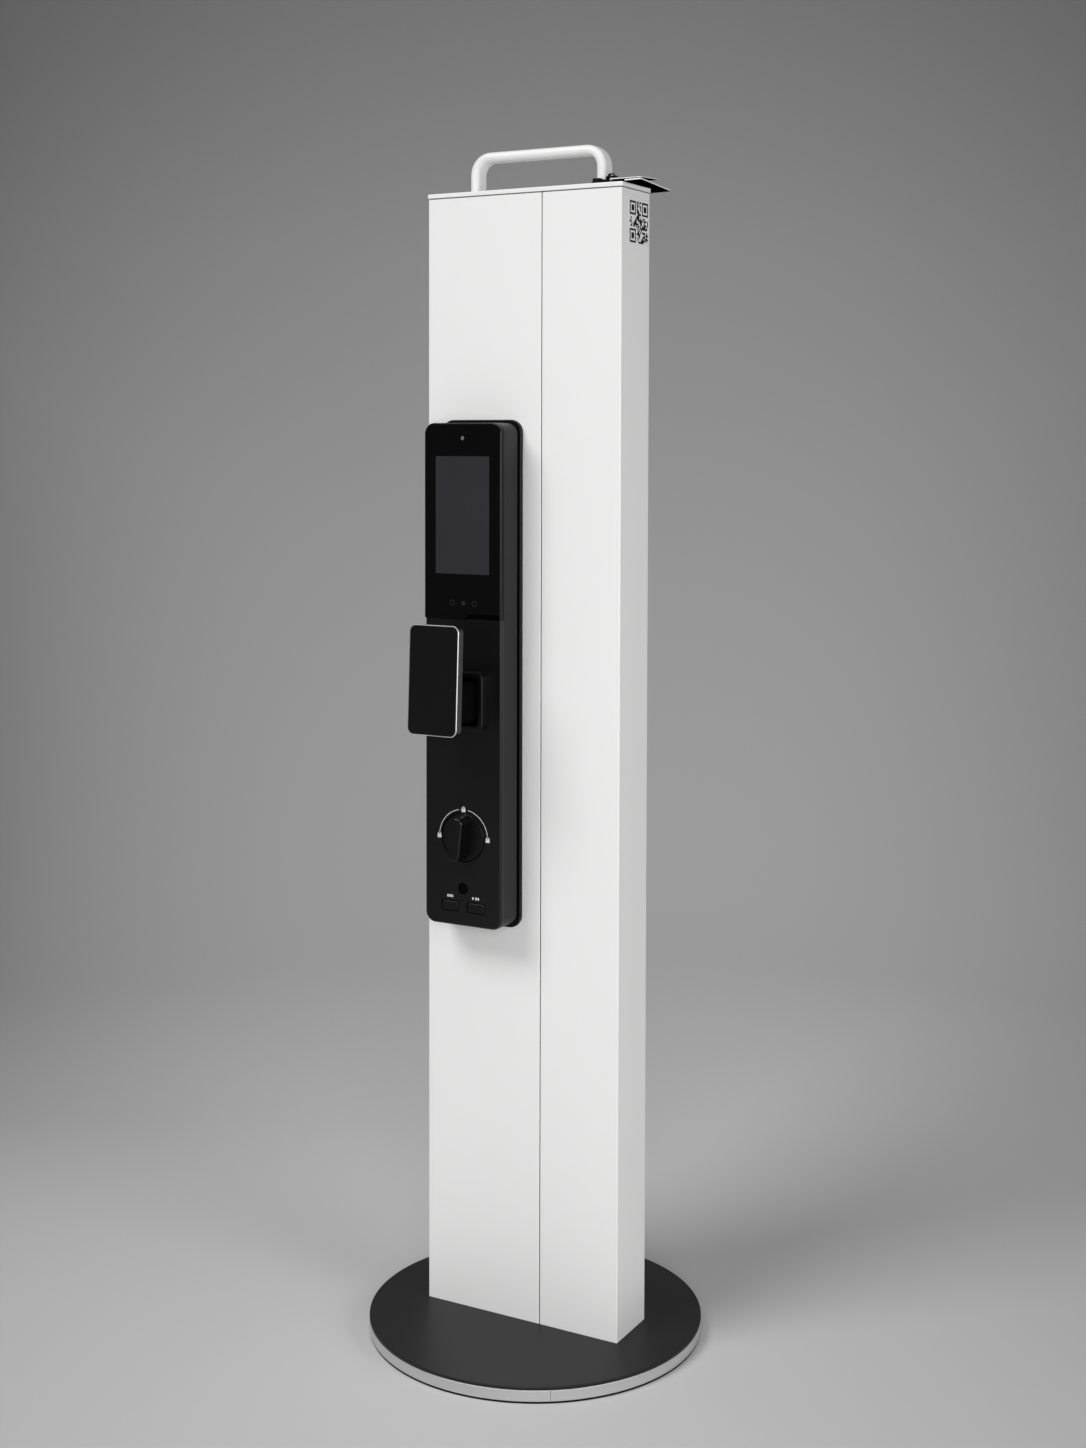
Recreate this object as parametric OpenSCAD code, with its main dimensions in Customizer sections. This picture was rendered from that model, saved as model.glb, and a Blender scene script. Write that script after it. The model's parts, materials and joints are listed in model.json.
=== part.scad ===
// Door lock demonstration stand: a short piece of door leaf and frame on a round
// weighted base, with a carry handle on top and a push handle smart lock fitted.
// Front is -Y, up is +Z, origin at the centre of the base on the floor.

/* [Base] */
// Diameter of the round base
base_d = 310; // [280:1:400]
// Thickness of the rubber mat under the base
mat_t = 2; // [1:0.5:4]
// Thickness of the steel core disc
core_t = 10; // [8:0.5:20]
// Thickness of the black top plate
top_plate_t = 3; // [2:0.5:6]
// Thickness of the stainless band round the rim
band_t = 1.5; // [1:0.25:3]
// Direction of the joint in the band, degrees from +X
band_joint_angle = -56; // [-180:1:180]
// Nominal diameter of the base screws
base_screw_d = 8; // [6:1:10]
// Bevel on the rim of the top plate
base_bevel = 0.7; // [0.3:0.1:1.5]

/* [Post] */
// Width of the door leaf section
leaf_w = 120; // [110:1:140]
// Width of the frame section
frame_w = 80; // [70:1:100]
// Depth of both sections
post_d = 57; // [50:1:70]
// Height of both sections
post_h = 1035.5; // [950:0.5:1200]
// Sheet thickness of the sections
wall = 1.5; // [1:0.25:2.5]
// Gap between the two sections
seam = 0.5; // [0.3:0.1:1.5]
// Outside corner radius of the sections
corner_r = 1; // [0.5:0.25:4]
// Thickness of the top cap
cap_t = 4; // [3:0.5:8]
// Shadow gap under the cap
cap_gap = 1; // [0.5:0.25:3]
// Overhang of the cap all round
cap_lip = 1; // [0.5:0.25:3]
// Radius of the cap's upper edge
cap_soft = 1; // [0.4:0.1:1.4]

/* [Carry handle] */
// Distance between the leg centres
grip_pitch = 131.5; // [110:0.5:150]
// Height over the cap
grip_h = 38; // [34:0.5:60]
// Place of the carry handle, to the right of the middle
grip_x = 3; // [-6:0.5:6]
// Thickness of the handle section
grip_t = 9; // [8:0.5:12]
// Depth of the handle section
grip_d = 19; // [14:0.5:24]
// Bend radius on the centre line
grip_bend = 15.5; // [12:0.5:20]
// Nominal diameter of the handle screws
grip_screw_d = 5; // [4:1:5]

/* [Lock position] */
// Backset from the leaf's left edge to the lock axis
backset = 60; // [55:1:65]
// Height of the thumbturn axis over the floor
turn_z = 467.3; // [455:0.1:560]
// Distance from the thumbturn axis down to the end of the unit
unit_drop = 81.6; // [78:0.1:90]
// Distance from the thumbturn axis up to the handle pivot
pivot_rise = 126.2; // [122:0.1:134]
// Distance from the handle pivot up to the line between glass and cover
seam_rise = 72.8; // [66:0.1:80]

/* [Inside unit] */
// Width of the housing
unit_w = 80.4; // [78:0.1:84]
// Height of the housing
unit_h = 456.6; // [400:0.1:500]
// Corner radius of the housing
unit_r = 10; // [8:0.5:14]
// Rim of the mounting plate beyond the housing's sides
plate_rim = 1.3; // [1:0.1:3]
// Thickness of the rubber gaskets
gasket_t = 1.3; // [1:0.1:2]
// Thickness of the mounting plate
plate_t = 4; // [3:0.1:5]
// Width of the dark groove behind the housing
groove_t = 2.7; // [2:0.1:4]
// Depth of the housing's side walls
shell_t = 24.5; // [22.5:0.5:26]
// Thickness of the lower cover with its rim
cover_t = 4.5; // [4:0.5:6]
// Thickness of the glass panel
glass_t = 3; // [2:0.25:3.5]
// Wall thickness of the plastic housings
plastic_t = 2; // [1.6:0.1:2.4]
// Width of the screen
screen_w = 56.2; // [50:0.1:60]
// Margin of the glass over the screen
screen_over = 28.75; // [20:0.05:36]
// Margin of the glass under the screen
screen_under = 40.95; // [30:0.05:50]
// Diameter of the camera lens
lens_d = 5.8; // [4:0.1:8]
// Distance from the top of the unit down to the camera lens
lens_drop = 12.6; // [8:0.1:18]
// Radius of the mounting plate's front edge
plate_soft = 0.9; // [0.4:0.1:1.2]
// Radius of the lower cover's front edge
cover_soft = 2.2; // [1:0.1:2.4]
// Radius of the glass panel's front edge
glass_soft = 1.2; // [0.5:0.1:1.6]

/* [Handles] */
// Width of the handle plate
palm_w = 51; // [46:0.5:56]
// Height of the handle plate
palm_h = 98; // [90:0.5:104]
// Thickness of the handle plate
palm_t = 10; // [8:0.5:12]
// Corner radius of the handle plate
palm_r = 6.5; // [4:0.5:8]
// Radius of the handle plate's edge on the side of the fingers
palm_soft = 2; // [1:0.1:3]
// Distance from the cover to the plate's front
palm_reach = 51.5; // [48:0.5:56]
// Height of the plate's centre over the pivot
palm_rise = 22.1; // [20:0.1:24]
// Lean of the plate, bottom outwards
palm_lean = 2.6; // [0:0.1:3]
// Width of the metal trim round the plate
trim_w = 1.5; // [1:0.1:2.5]
// Depth of the metal trim
trim_t = 2; // [1:0.25:3]
// Width of the collar
collar_w = 51.6; // [50:0.1:53]
// Height of the collar
collar_h = 50.5; // [50:0.1:52]
// Height of the collar over the cover
collar_t = 12; // [8:0.5:13]
// Wall of the collar
collar_wall = 3.5; // [2.5:0.1:3.6]
// Radius of the collar's front edge
collar_soft = 0.8; // [0.4:0.1:1.5]
// Width of the handle arm
arm_w = 40; // [36:0.5:40]
// Height of the handle arm
arm_h = 36; // [30:0.5:36]
// Diameter of the pivot pins
pin_d = 6; // [5:0.5:8]

/* [Thumbturn and buttons] */
// Diameter of the thumbturn disc
turn_d = 43.5; // [40:0.1:46]
// Ring gap round the thumbturn disc
turn_gap = 1; // [0.5:0.1:1.5]
// Height of the finger bar
bar_h = 15.5; // [10:0.5:18]
// Width of the finger bar
bar_w = 13.5; // [10:0.5:15]
// Narrowing of the finger bar towards its top, on each side
bar_taper = 1.4; // [0:0.1:2]
// Bevel on the finger bar's top
bar_bevel = 1.5; // [0.5:0.1:2.5]
// Turn of the bar from upright, clockwise from the front
bar_turn = 6; // [0:1:10]
// Side of the square spindle
spindle_w = 5; // [4:0.5:6]
// Width of the two long buttons
key_w = 18; // [14:0.5:20]
// Height of the two long buttons
key_h = 9; // [7:0.5:10]
// Distance between the long buttons' centres
key_pitch = 27.1; // [24:0.1:32]
// Distance from the end of the unit up to the long buttons
key_rise = 17.8; // [12:0.1:20]
// Diameter of the round button
reset_d = 9.6; // [7:0.1:12]
// Distance from the end of the unit up to the round button
reset_rise = 34.6; // [31:0.1:38]

/* [Mortise lock] */
// Length of the edge faceplate beyond each end of the lock case
face_lap = 20; // [16:1:26]
// Width of the edge faceplate
face_w = 24; // [22:1:26]
// Thickness of the edge faceplate
face_t = 3; // [2.5:0.5:3]
// Nominal diameter of the faceplate screws
face_screw_d = 4; // [3.5:0.5:5]
// Height of the lock case
case_h = 200; // [180:1:230]
// Thickness of the lock case
case_t = 20; // [18:0.5:21]
// Depth of the lock case behind the faceplate
case_d = 85; // [84:0.5:90]
// Sheet thickness of the lock case
case_wall = 1.2; // [1:0.1:1.5]
// Diameter of each dead bolt
bolt_d = 11; // [9:0.5:12]
// Bevel on the dead bolts' noses
bolt_nose = 1; // [0.5:0.1:2]
// Distance between the dead bolts
bolt_pitch = 13.5; // [13:0.5:14]
// Travel of the dead bolts for a quarter turn
bolt_throw = 10; // [8:0.5:10]
// Height of the latch bolt
latch_h = 28; // [24:1:32]
// Width of the latch bolt
latch_w = 14; // [12:0.5:15]
// Distance from the thumbturn axis up to the latch
latch_rise = 77.7; // [66:0.1:90]

/* [Clearances] */
// Radial clearance of running fits
run_fit = 0.05; // [0.02:0.01:0.08]
// Radial clearance of screws in plain holes
screw_fit = 0.4; // [0.3:0.05:0.6]
// Gap round sliding buttons
key_fit = 0.5; // [0.2:0.05:0.7]
// Gap between nested sheet parts
sheet_fit = 0.2; // [0.1:0.05:0.4]

/* [Hidden] */
$fn = 64;

// Heights of the base and the post
base_r = base_d / 2;
core_z = mat_t;
top_plate_z = core_z + core_t;
floor_z = top_plate_z + top_plate_t;
post_top = floor_z + post_h;
cap_z = post_top + cap_gap;
cap_top = cap_z + cap_t;

// Places across the post
post_w = leaf_w + frame_w;
leaf_left = -post_w / 2;
frame_right = post_w / 2;
seam_x = leaf_left + leaf_w;
lock_x = leaf_left + backset;
leaf_net_w = leaf_w - seam / 2;
frame_net_w = frame_w - seam / 2;
leaf_xc = leaf_left + leaf_net_w / 2;
frame_xc = frame_right - frame_net_w / 2;
inner_d = post_d - 2 * wall;

// Screws of the base and the feet
foot_t = 6;
foot_tab_h = 40;
foot_tab_t = 3;
base_head_h = base_screw_d * 0.6;
base_head_r = base_screw_d * 0.8;
foot_hole_dx = 28;
foot_hole_xs = [leaf_xc - foot_hole_dx, leaf_xc + foot_hole_dx,
    frame_xc - foot_hole_dx / 2, frame_xc + foot_hole_dx / 2];

// Screws that tie the two sections together
tie_r = 2.5;
tie_head_r = 4.5;
tie_head_h = 2.5;
tie_zs = [floor_z + post_h * 0.15, floor_z + post_h * 0.55, floor_z + post_h * 0.9];

// Blocks in the top of the sections
block_h = 20;
block_in = 1.5;
grip_thread = 14;
grip_head_r = grip_screw_d * 0.85;
grip_head_h = 4;

// Levels of the inside unit over the leaf's face
plate_top = gasket_t + plate_t;
floor_in = plate_top + groove_t;
shell_top = floor_in + shell_t;
cover_top = shell_top + cover_t;
bezel_top = shell_top + glass_t;
glass_top = bezel_top + glass_t;
housing_floor = floor_in + plastic_t;
unit_bottom = turn_z - unit_drop;
unit_top = unit_bottom + unit_h;
unit_zc = unit_bottom + unit_h / 2;
pivot_z = turn_z + pivot_rise;
seam_z = pivot_z + seam_rise;
screen_h = unit_top - seam_z - screen_over - screen_under;
screen_z = seam_z + screen_under + screen_h / 2;
lens_z = unit_top - lens_drop;
key_z = unit_bottom + key_rise;
reset_z = unit_bottom + reset_rise;
wire_r = 8;
wire_z = seam_z + 54;
spigot_in = 2.5;

// Outside unit
outer_front = 30;
outer_skin = 2.5;
outer_soft = 2.6;
outer_edge = 4;
outer_glass_z0 = seam_z + 21;
outer_glass_z1 = unit_top - outer_edge - 1;
boss_r = 5;

// Through bolts
thru_r = 2.5;
thru_head_r = 4.5;
thru_head_h = 2.5;
thru_zs = [unit_bottom + outer_skin + sheet_fit + boss_r, seam_z + 12];

// Handles
pivot_in = 13.5;
drum_r = 11;
ear_t = 3;
ear_gap = 0.4;
arm_root = 2;
collar_r = 6;
sleeve_len = 5;

// Thumbturn, pinion and rack
stem_r = 8;
pinion_teeth = 8;
pitch_r = bolt_throw / (PI / 2);
tooth_pitch = 2 * PI * pitch_r / pinion_teeth;
tooth_up = 1.1;
tooth_down = 1.3;
tooth_root_w = tooth_pitch * 0.46;
tooth_tip_w = tooth_pitch * 0.2;
gear_t = 6;
rack_z = turn_z - pitch_r;

// Mortise lock
edge_x = leaf_left + face_t;
carriage_h = 3 * bolt_pitch;
carriage_zc = rack_z - tooth_down - 1 - carriage_h / 2;
carriage_gap = 0.4;
case_zc = carriage_zc - carriage_h / 2 - carriage_gap - case_wall + case_h / 2;
face_h = case_h + 2 * face_lap;
latch_z = turn_z + latch_rise;
bolt_rest_out = bolt_throw * (90 + bar_turn) / 90;
latch_out = 10.5;
latch_travel = 10;
latch_len = 52;
spring_r = 4.5;
spring_wire = 0.8;

// Clip and tags on the cap
tag_t = 1.2;
tag_w = 34;
tag_h = 90;
tag_x = post_w / 2 + cap_lip + 14.5;
tag_y = -23;
clip_x = tag_x - tag_w - 12.5;
clip_y = -22;
clip_w = 36;
clip_deep = 11;
clip_h = 3.5;

// ---- Shared shapes -----------------------------------------------------------

// Rounded rectangle with true arcs
module round_rect(w, h, r) {
    square([w - 2 * r, h], center = true);
    square([w, h - 2 * r], center = true);
    for (x = [-1, 1], y = [-1, 1])
        translate([x * (w / 2 - r), y * (h / 2 - r)])
            circle(r);
}

// Children drawn as (across, height, outwards) on the leaf's front face
module on_front(out = 0) {
    translate([lock_x, -post_d / 2 - out, 0])
        rotate([90, 0, 0])
            children();
}

// The same on the back face
module on_back(out = 0) {
    mirror([0, 1, 0])
        on_front(out)
            children();
}

// Rounded slab centred at height zc, from level t0 to t1
module slab(w, h, r, zc, t0, t1) {
    translate([0, zc, t0])
        linear_extrude(t1 - t0)
            round_rect(w, h, r);
}

// Quarter disc that rounds an edge
module quarter_disc(r) {
    intersection() {
        circle(r);
        square(r);
    }
}

// Half of a slab's section, with its outer upper edge rounded
module half_section(half, t, soft) {
    square([half, t - soft]);
    square([half - soft, t]);
    translate([half - soft, t - soft])
        quarter_disc(soft);
}

// Whole section of such a slab
module whole_section(w, t, soft) {
    half_section(w / 2, t, soft);
    mirror([1, 0])
        half_section(w / 2, t, soft);
}

// Rounded slab whose front rim is rounded as well
module soft_slab(w, h, r, zc, t0, t1, soft) {
    t = t1 - t0;
    cx = w / 2 - r;
    cz = h / 2 - r;
    corners = [[cx, cz], [-cx, cz], [-cx, -cz], [cx, -cz]];
    translate([0, zc, t0]) {
        translate([0, cz, 0])
            rotate([90, 0, 0])
                linear_extrude(2 * cz)
                    whole_section(w, t, soft);
        translate([-cx, 0, 0])
            rotate([90, 0, 90])
                linear_extrude(2 * cx)
                    whole_section(h, t, soft);
        for (i = [0 : 3])
            translate([corners[i][0], corners[i][1], 0])
                rotate([0, 0, 90 * i])
                    rotate_extrude(angle = 90)
                        half_section(r, t, soft);
    }
}

// Round hole or shank along the outward direction
module drill(r, x, z, t0, t1) {
    translate([x, z, t0])
        cylinder(r = r, h = t1 - t0);
}

// Part of the unit's outline between two heights
module unit_outline(inset, z0, z1) {
    intersection() {
        translate([0, unit_zc])
            round_rect(unit_w - 2 * inset, unit_h - 2 * inset, unit_r - inset);
        translate([-unit_w, z0])
            square([2 * unit_w, z1 - z0]);
    }
}

// Slab of the unit's outline with a rounded rim, between two heights
module unit_soft(z0, z1, t0, t1, soft) {
    intersection() {
        soft_slab(unit_w, unit_h, unit_r, unit_zc, t0, t1, soft);
        translate([-unit_w, z0, t0 - 1])
            cube([2 * unit_w, z1 - z0, t1 - t0 + 2]);
    }
}

// Box section of folded sheet
module box_section(w) {
    translate([0, 0, floor_z])
        linear_extrude(post_h)
            difference() {
                round_rect(w, post_d, corner_r);
                square([w - 2 * wall, inner_d], center = true);
            }
}

// Screw along +Z with its head at the bottom
module screw(r, head_r, head_h, len) {
    cylinder(r = head_r, h = head_h);
    translate([0, 0, head_h])
        cylinder(r = r, h = len);
}

// ---- Base --------------------------------------------------------------------

module base_mat() {
    color("#101010")
        cylinder(r = base_r - 0.5, h = mat_t, $fn = 128);
}

module base_core() {
    color("dimgray")
        translate([0, 0, core_z])
            difference() {
                cylinder(r = base_r - band_t, h = core_t, $fn = 128);
                for (x = foot_hole_xs)
                    translate([x, 0, -1]) {
                        cylinder(r = base_head_r + screw_fit, h = base_head_h + 2);
                        cylinder(r = base_screw_d / 2 + screw_fit, h = core_t + 2);
                    }
            }
}

module base_band() {
    color("silver")
        translate([0, 0, core_z])
            difference() {
                cylinder(r = base_r, h = core_t, $fn = 128);
                translate([0, 0, -1])
                    cylinder(r = base_r - band_t, h = core_t + 2, $fn = 128);
                rotate([0, 0, band_joint_angle])
                    translate([base_r - 2 * band_t, -0.2, -1])
                        cube([3 * band_t, 0.4, core_t + 2]);
            }
}

module base_top_plate() {
    color("#202020")
        translate([0, 0, top_plate_z])
            difference() {
                union() {
                    cylinder(r = base_r, h = top_plate_t - base_bevel, $fn = 128);
                    translate([0, 0, top_plate_t - base_bevel])
                        cylinder(r1 = base_r, r2 = base_r - base_bevel, h = base_bevel, $fn = 128);
                }
                for (x = foot_hole_xs)
                    translate([x, 0, -1])
                        cylinder(r = base_screw_d / 2 + screw_fit, h = top_plate_t + 2);
            }
}

module base_screws() {
    color("silver")
        for (x = foot_hole_xs)
            translate([x, 0, core_z + 1])
                screw(base_screw_d / 2, base_head_r, base_head_h,
                    core_t - 1 - base_head_h + top_plate_t + foot_t - 0.5);
}

// ---- Post --------------------------------------------------------------------

module leaf_section() {
    turn_hole_r = stem_r + 2;
    color("white")
        difference() {
            translate([leaf_xc, 0, 0])
                box_section(leaf_net_w);
            on_front(-post_d - 5) {
                for (z = thru_zs)
                    drill(thru_r + screw_fit, 0, z, 0, post_d + 10);
                drill(turn_hole_r, 0, turn_z, 0, post_d + 10);
                drill(wire_r, 0, wire_z, 0, post_d + 10);
            }
            translate([leaf_left - 1, -face_w / 2 - sheet_fit, case_zc - face_h / 2 - sheet_fit])
                cube([wall + 2, face_w + 2 * sheet_fit, face_h + 2 * sheet_fit]);
            for (z = tie_zs)
                translate([seam_x - 10, 0, z])
                    rotate([0, 90, 0])
                        cylinder(r = tie_r + screw_fit, h = 20);
        }
}

module frame_section() {
    color("white")
        difference() {
            translate([frame_xc, 0, 0])
                box_section(frame_net_w);
            for (z = tie_zs)
                translate([seam_x - 10, 0, z])
                    rotate([0, 90, 0])
                        cylinder(r = tie_r + screw_fit, h = 20);
        }
}

// U shaped foot with tapped holes for the base screws
module foot(w) {
    net_w = w - 2 * wall - 2 * sheet_fit;
    net_d = inner_d - 2 * sheet_fit;
    translate([0, 0, floor_z])
        difference() {
            translate([-net_w / 2, -net_d / 2, 0])
                cube([net_w, net_d, foot_tab_h]);
            translate([-net_w, -net_d / 2 + foot_tab_t, foot_t])
                cube([2 * net_w, net_d - 2 * foot_tab_t, foot_tab_h]);
        }
}

module leaf_foot() {
    color("gray")
        difference() {
            translate([leaf_xc, 0, 0])
                foot(leaf_net_w);
            for (i = [0, 1])
                translate([foot_hole_xs[i], 0, floor_z - 1])
                    cylinder(r = base_screw_d / 2 + run_fit, h = foot_t + 2);
        }
}

module frame_foot() {
    color("gray")
        difference() {
            translate([frame_xc, 0, 0])
                foot(frame_net_w);
            for (i = [2, 3])
                translate([foot_hole_xs[i], 0, floor_z - 1])
                    cylinder(r = base_screw_d / 2 + run_fit, h = foot_t + 2);
        }
}

module tie_screws() {
    grip = seam + 2 * wall;
    color("silver")
        for (z = tie_zs)
            translate([seam_x - grip / 2 - tie_head_h, 0, z])
                rotate([0, 90, 0]) {
                    screw(tie_r, tie_head_r, tie_head_h, grip);
                    translate([0, 0, tie_head_h + grip])
                        cylinder(r = tie_head_r, h = tie_head_h);
                }
}

// Block in the top of a section, standing cap_gap over its edge
module top_block(w) {
    net_w = w - 2 * wall - 2 * sheet_fit;
    net_d = inner_d - 2 * sheet_fit;
    translate([-net_w / 2, -net_d / 2, cap_z - block_h])
        cube([net_w, net_d, block_h]);
}

module handle_screw_hole(x) {
    translate([x, 0, cap_z - block_h - 1]) {
        cylinder(r = grip_head_r + screw_fit, h = grip_head_h + 1);
        cylinder(r = grip_screw_d / 2 + screw_fit, h = block_h + cap_t + 2);
    }
}

module leaf_top_block() {
    color("gray")
        difference() {
            translate([leaf_xc, 0, 0])
                top_block(leaf_net_w);
            handle_screw_hole(grip_x - grip_pitch / 2);
        }
}

module frame_top_block() {
    color("gray")
        difference() {
            translate([frame_xc, 0, 0])
                top_block(frame_net_w);
            handle_screw_hole(grip_x + grip_pitch / 2);
        }
}

module top_cap() {
    color("white")
        difference() {
            soft_slab(post_w + 2 * cap_lip, post_d + 2 * cap_lip, corner_r + cap_lip, 0, cap_z, cap_top,
                cap_soft);
            for (side = [-1, 1])
                translate([grip_x + side * grip_pitch / 2, 0, cap_z - 1])
                    cylinder(r = grip_screw_d / 2 + screw_fit, h = cap_t + 2);
        }
}

// Section of the carry handle, flat ended oval
module grip_section() {
    round_rect(grip_t, grip_d, grip_t / 2 - 0.05);
}

module carry_handle() {
    leg = grip_h - grip_t / 2 - grip_bend;
    half = grip_pitch / 2;
    color("white")
        translate([grip_x, 0, cap_top])
            difference() {
                union() {
                    for (side = [-1, 1])
                        translate([side * half, 0, 0])
                            linear_extrude(leg)
                                grip_section();
                    translate([-half + grip_bend, 0, leg + grip_bend])
                        rotate([0, 90, 0])
                            linear_extrude(grip_pitch - 2 * grip_bend)
                                grip_section();
                    for (side = [0, 1])
                        mirror([side, 0, 0])
                            translate([half - grip_bend, 0, leg])
                                rotate([90, 0, 0])
                                    rotate_extrude(angle = 90)
                                        translate([grip_bend, 0])
                                            grip_section();
                }
                for (side = [-1, 1])
                    translate([side * half, 0, -1])
                        cylinder(r = grip_screw_d / 2 + run_fit, h = grip_thread + 1);
            }
}

module handle_screws() {
    color("silver")
        for (side = [-1, 1])
            translate([grip_x + side * grip_pitch / 2, 0, cap_z - block_h])
                screw(grip_screw_d / 2, grip_head_r, grip_head_h,
                    block_h - grip_head_h + cap_t + grip_thread - 1);
}

// ---- Clip and tags on the cap --------------------------------------------------

lever_pin_x = clip_x + 8;
lever_pin_z = cap_top + 2.8;
lever_pin_r = 0.7;

module clip_body() {
    ear = 1.6;
    color("#151515")
        difference() {
            union() {
                translate([clip_x, clip_y - clip_deep / 2, cap_top])
                    cube([10.5, clip_deep, 1]);
                for (y = [clip_y - clip_deep / 2, clip_y + clip_deep / 2 - ear])
                    translate([lever_pin_x - 2.5, y, cap_top])
                        cube([5, ear, 4.2]);
            }
            translate([lever_pin_x, clip_y - clip_deep, lever_pin_z])
                rotate([-90, 0, 0])
                    cylinder(r = lever_pin_r + 0.02, h = 2 * clip_deep, $fn = 32);
        }
}

module clip_lever() {
    w = clip_deep - 4;
    color("#151515")
        translate([lever_pin_x, clip_y + w / 2, lever_pin_z])
            rotate([90, 0, 0])
                linear_extrude(w)
                    difference() {
                        union() {
                            circle(1.35, $fn = 32);
                            polygon([[0, -1.1], [6.5, 2.1], [23, 2.2], [25, 3], [23.5, 3.2],
                                [11.6, 3.1], [10.2, 5], [4.2, 5], [3, 2.2], [0, 1.3]]);
                            polygon([[0, 1.2], [-3.5, 1.6], [-3.8, 0.9], [0, -0.9]]);
                        }
                        polygon([[4.8, 3.1], [5.2, 4.1], [9.6, 4.1], [10.4, 3.1]]);
                        circle(lever_pin_r + run_fit, $fn = 32);
                    }
}

module clip_pin() {
    color("silver")
        translate([lever_pin_x, clip_y - clip_deep / 2, lever_pin_z])
            rotate([-90, 0, 0])
                cylinder(r = lever_pin_r, h = clip_deep, $fn = 32);
}

// Thin tag lying from its near right corner
module tag(w, h) {
    linear_extrude(tag_t)
        translate([-w / 2, h / 2])
            round_rect(w, h, 3);
}

tag_turn = 8;
tag_tilt = 2.6;
tag_rise = tag_w * sin(tag_tilt);

module tag_lower() {
    color("#1c1c1c")
        translate([tag_x, tag_y, cap_top + tag_rise])
            rotate([0, 0, tag_turn])
                rotate([0, -tag_tilt, 0])
                    tag(tag_w, tag_h);
}

module tag_upper() {
    color("#242424")
        translate([tag_x - 0.5, tag_y + 1, cap_top + tag_rise + tag_t + 0.6])
            rotate([0, 0, tag_turn])
                rotate([4.6, -tag_tilt + 1, 0])
                    tag(tag_w - 4, tag_h - 34);
}

// ---- Inside unit ---------------------------------------------------------------

module unit_holes(t0, t1) {
    for (z = thru_zs)
        drill(thru_r + screw_fit, 0, z, t0, t1);
    drill(wire_r, 0, wire_z, t0, t1);
}

module inner_gasket() {
    color("#0c0c0c")
        on_front()
            difference() {
                slab(unit_w + 2 * plate_rim - 1, unit_h + 6 * plate_rim, unit_r + 0.5, unit_zc, 0, gasket_t);
                drill(stem_r + 2, 0, turn_z, -1, gasket_t + 1);
                unit_holes(-1, gasket_t + 1);
            }
}

module inner_mount_plate() {
    color("#1a1a1a")
        on_front()
            difference() {
                soft_slab(unit_w + 2 * plate_rim, unit_h + 6 * plate_rim + 1, unit_r + plate_rim, unit_zc,
                    gasket_t, plate_top, plate_soft);
                drill(stem_r + 2, 0, turn_z, 0, plate_top + 1);
                unit_holes(0, plate_top + 1);
                for (z = thru_zs)
                    drill(thru_head_r + screw_fit, 0, z, plate_top - thru_head_h, plate_top + 1);
            }
}

// Two ears that carry a handle's pivot pin, from level t0 outwards
module pivot_ears(face, t0) {
    reach = face - pivot_in - t0 + 6;
    for (side = [-1, 1])
        translate([side * (arm_w / 2 + ear_gap + ear_t / 2) - ear_t / 2, pivot_z - 9, t0])
            cube([ear_t, 18, reach]);
}

// Bore or shank of the pivot pin
module pivot_rod(face, r, half) {
    translate([-half, pivot_z, face - pivot_in])
        rotate([0, 90, 0])
            cylinder(r = r, h = 2 * half);
}

pin_half = arm_w / 2 + ear_gap + ear_t + 0.5;

module inner_housing() {
    color("#222222")
        on_front()
            difference() {
                union() {
                    translate([0, 0, plate_top])
                        linear_extrude(groove_t)
                            unit_outline(spigot_in, unit_bottom, unit_top);
                    translate([0, 0, floor_in])
                        linear_extrude(shell_t)
                            difference() {
                                unit_outline(0, unit_bottom, unit_top);
                                unit_outline(plastic_t, unit_bottom, unit_top);
                            }
                    translate([0, 0, floor_in])
                        linear_extrude(plastic_t)
                            unit_outline(1, unit_bottom, unit_top);
                    pivot_ears(cover_top, housing_floor - 0.5);
                    for (side = [-1, 1], z = [board_z0 + 9, board_z1 - 9])
                        drill(3, side * (board_w / 2 - 3), z, housing_floor - 0.5, housing_floor + 2);
                    for (side = [-1, 1], end = [-1, 1])
                        drill(3, side * (button_board_w / 2 - 5), button_board_zc + end * 8,
                            housing_floor - 0.5, button_board_t);
                }
                drill(stem_r + run_fit, 0, turn_z, 0, shell_top);
                drill(wire_r, 0, wire_z, 0, shell_top);
                pivot_rod(cover_top, pin_d / 2 + 0.02, pin_half);
            }
}

// Opening in a cover for the collar's sleeve
module collar_opening(face, t0, t1) {
    slab(collar_w - 2 * collar_wall + 2, collar_h - 2 * collar_wall + 2, collar_r - collar_wall + 1,
        pivot_z, t0, t1);
}

module lower_cover() {
    color("#202020")
        on_front()
            difference() {
                unit_soft(unit_bottom - 1, seam_z, shell_top, cover_top, cover_soft);
                translate([0, 0, shell_top - 1])
                    linear_extrude(cover_t - 2.5 + 1)
                        unit_outline(plastic_t, unit_bottom + plastic_t, seam_z - plastic_t);
                collar_opening(cover_top, shell_top - 1, cover_top + 1);
                drill(turn_d / 2 + turn_gap, 0, turn_z, shell_top - 1, cover_top + 1);
                drill(reset_d / 2 + key_fit, 0, reset_z, shell_top - 1, cover_top + 1);
                for (side = [-1, 1])
                    translate([side * key_pitch / 2, 0, 0])
                        slab(key_w + 2 * key_fit, key_h + 2 * key_fit, 2 + key_fit, key_z,
                            shell_top - 1, cover_top + 1);
            }
}

notch_w = 36.5;
notch_h = 4.7;
notch_slant = 4;

// Finger notch under the glass, in its right half, with a slanted left end
module finger_notch(t0, t1) {
    translate([unit_w / 2 - 1.7, seam_z, t0])
        linear_extrude(t1 - t0)
            polygon([[0, -1], [0, notch_h], [notch_slant - notch_w, notch_h], [-notch_w, 0], [-notch_w, -1]]);
}

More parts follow.
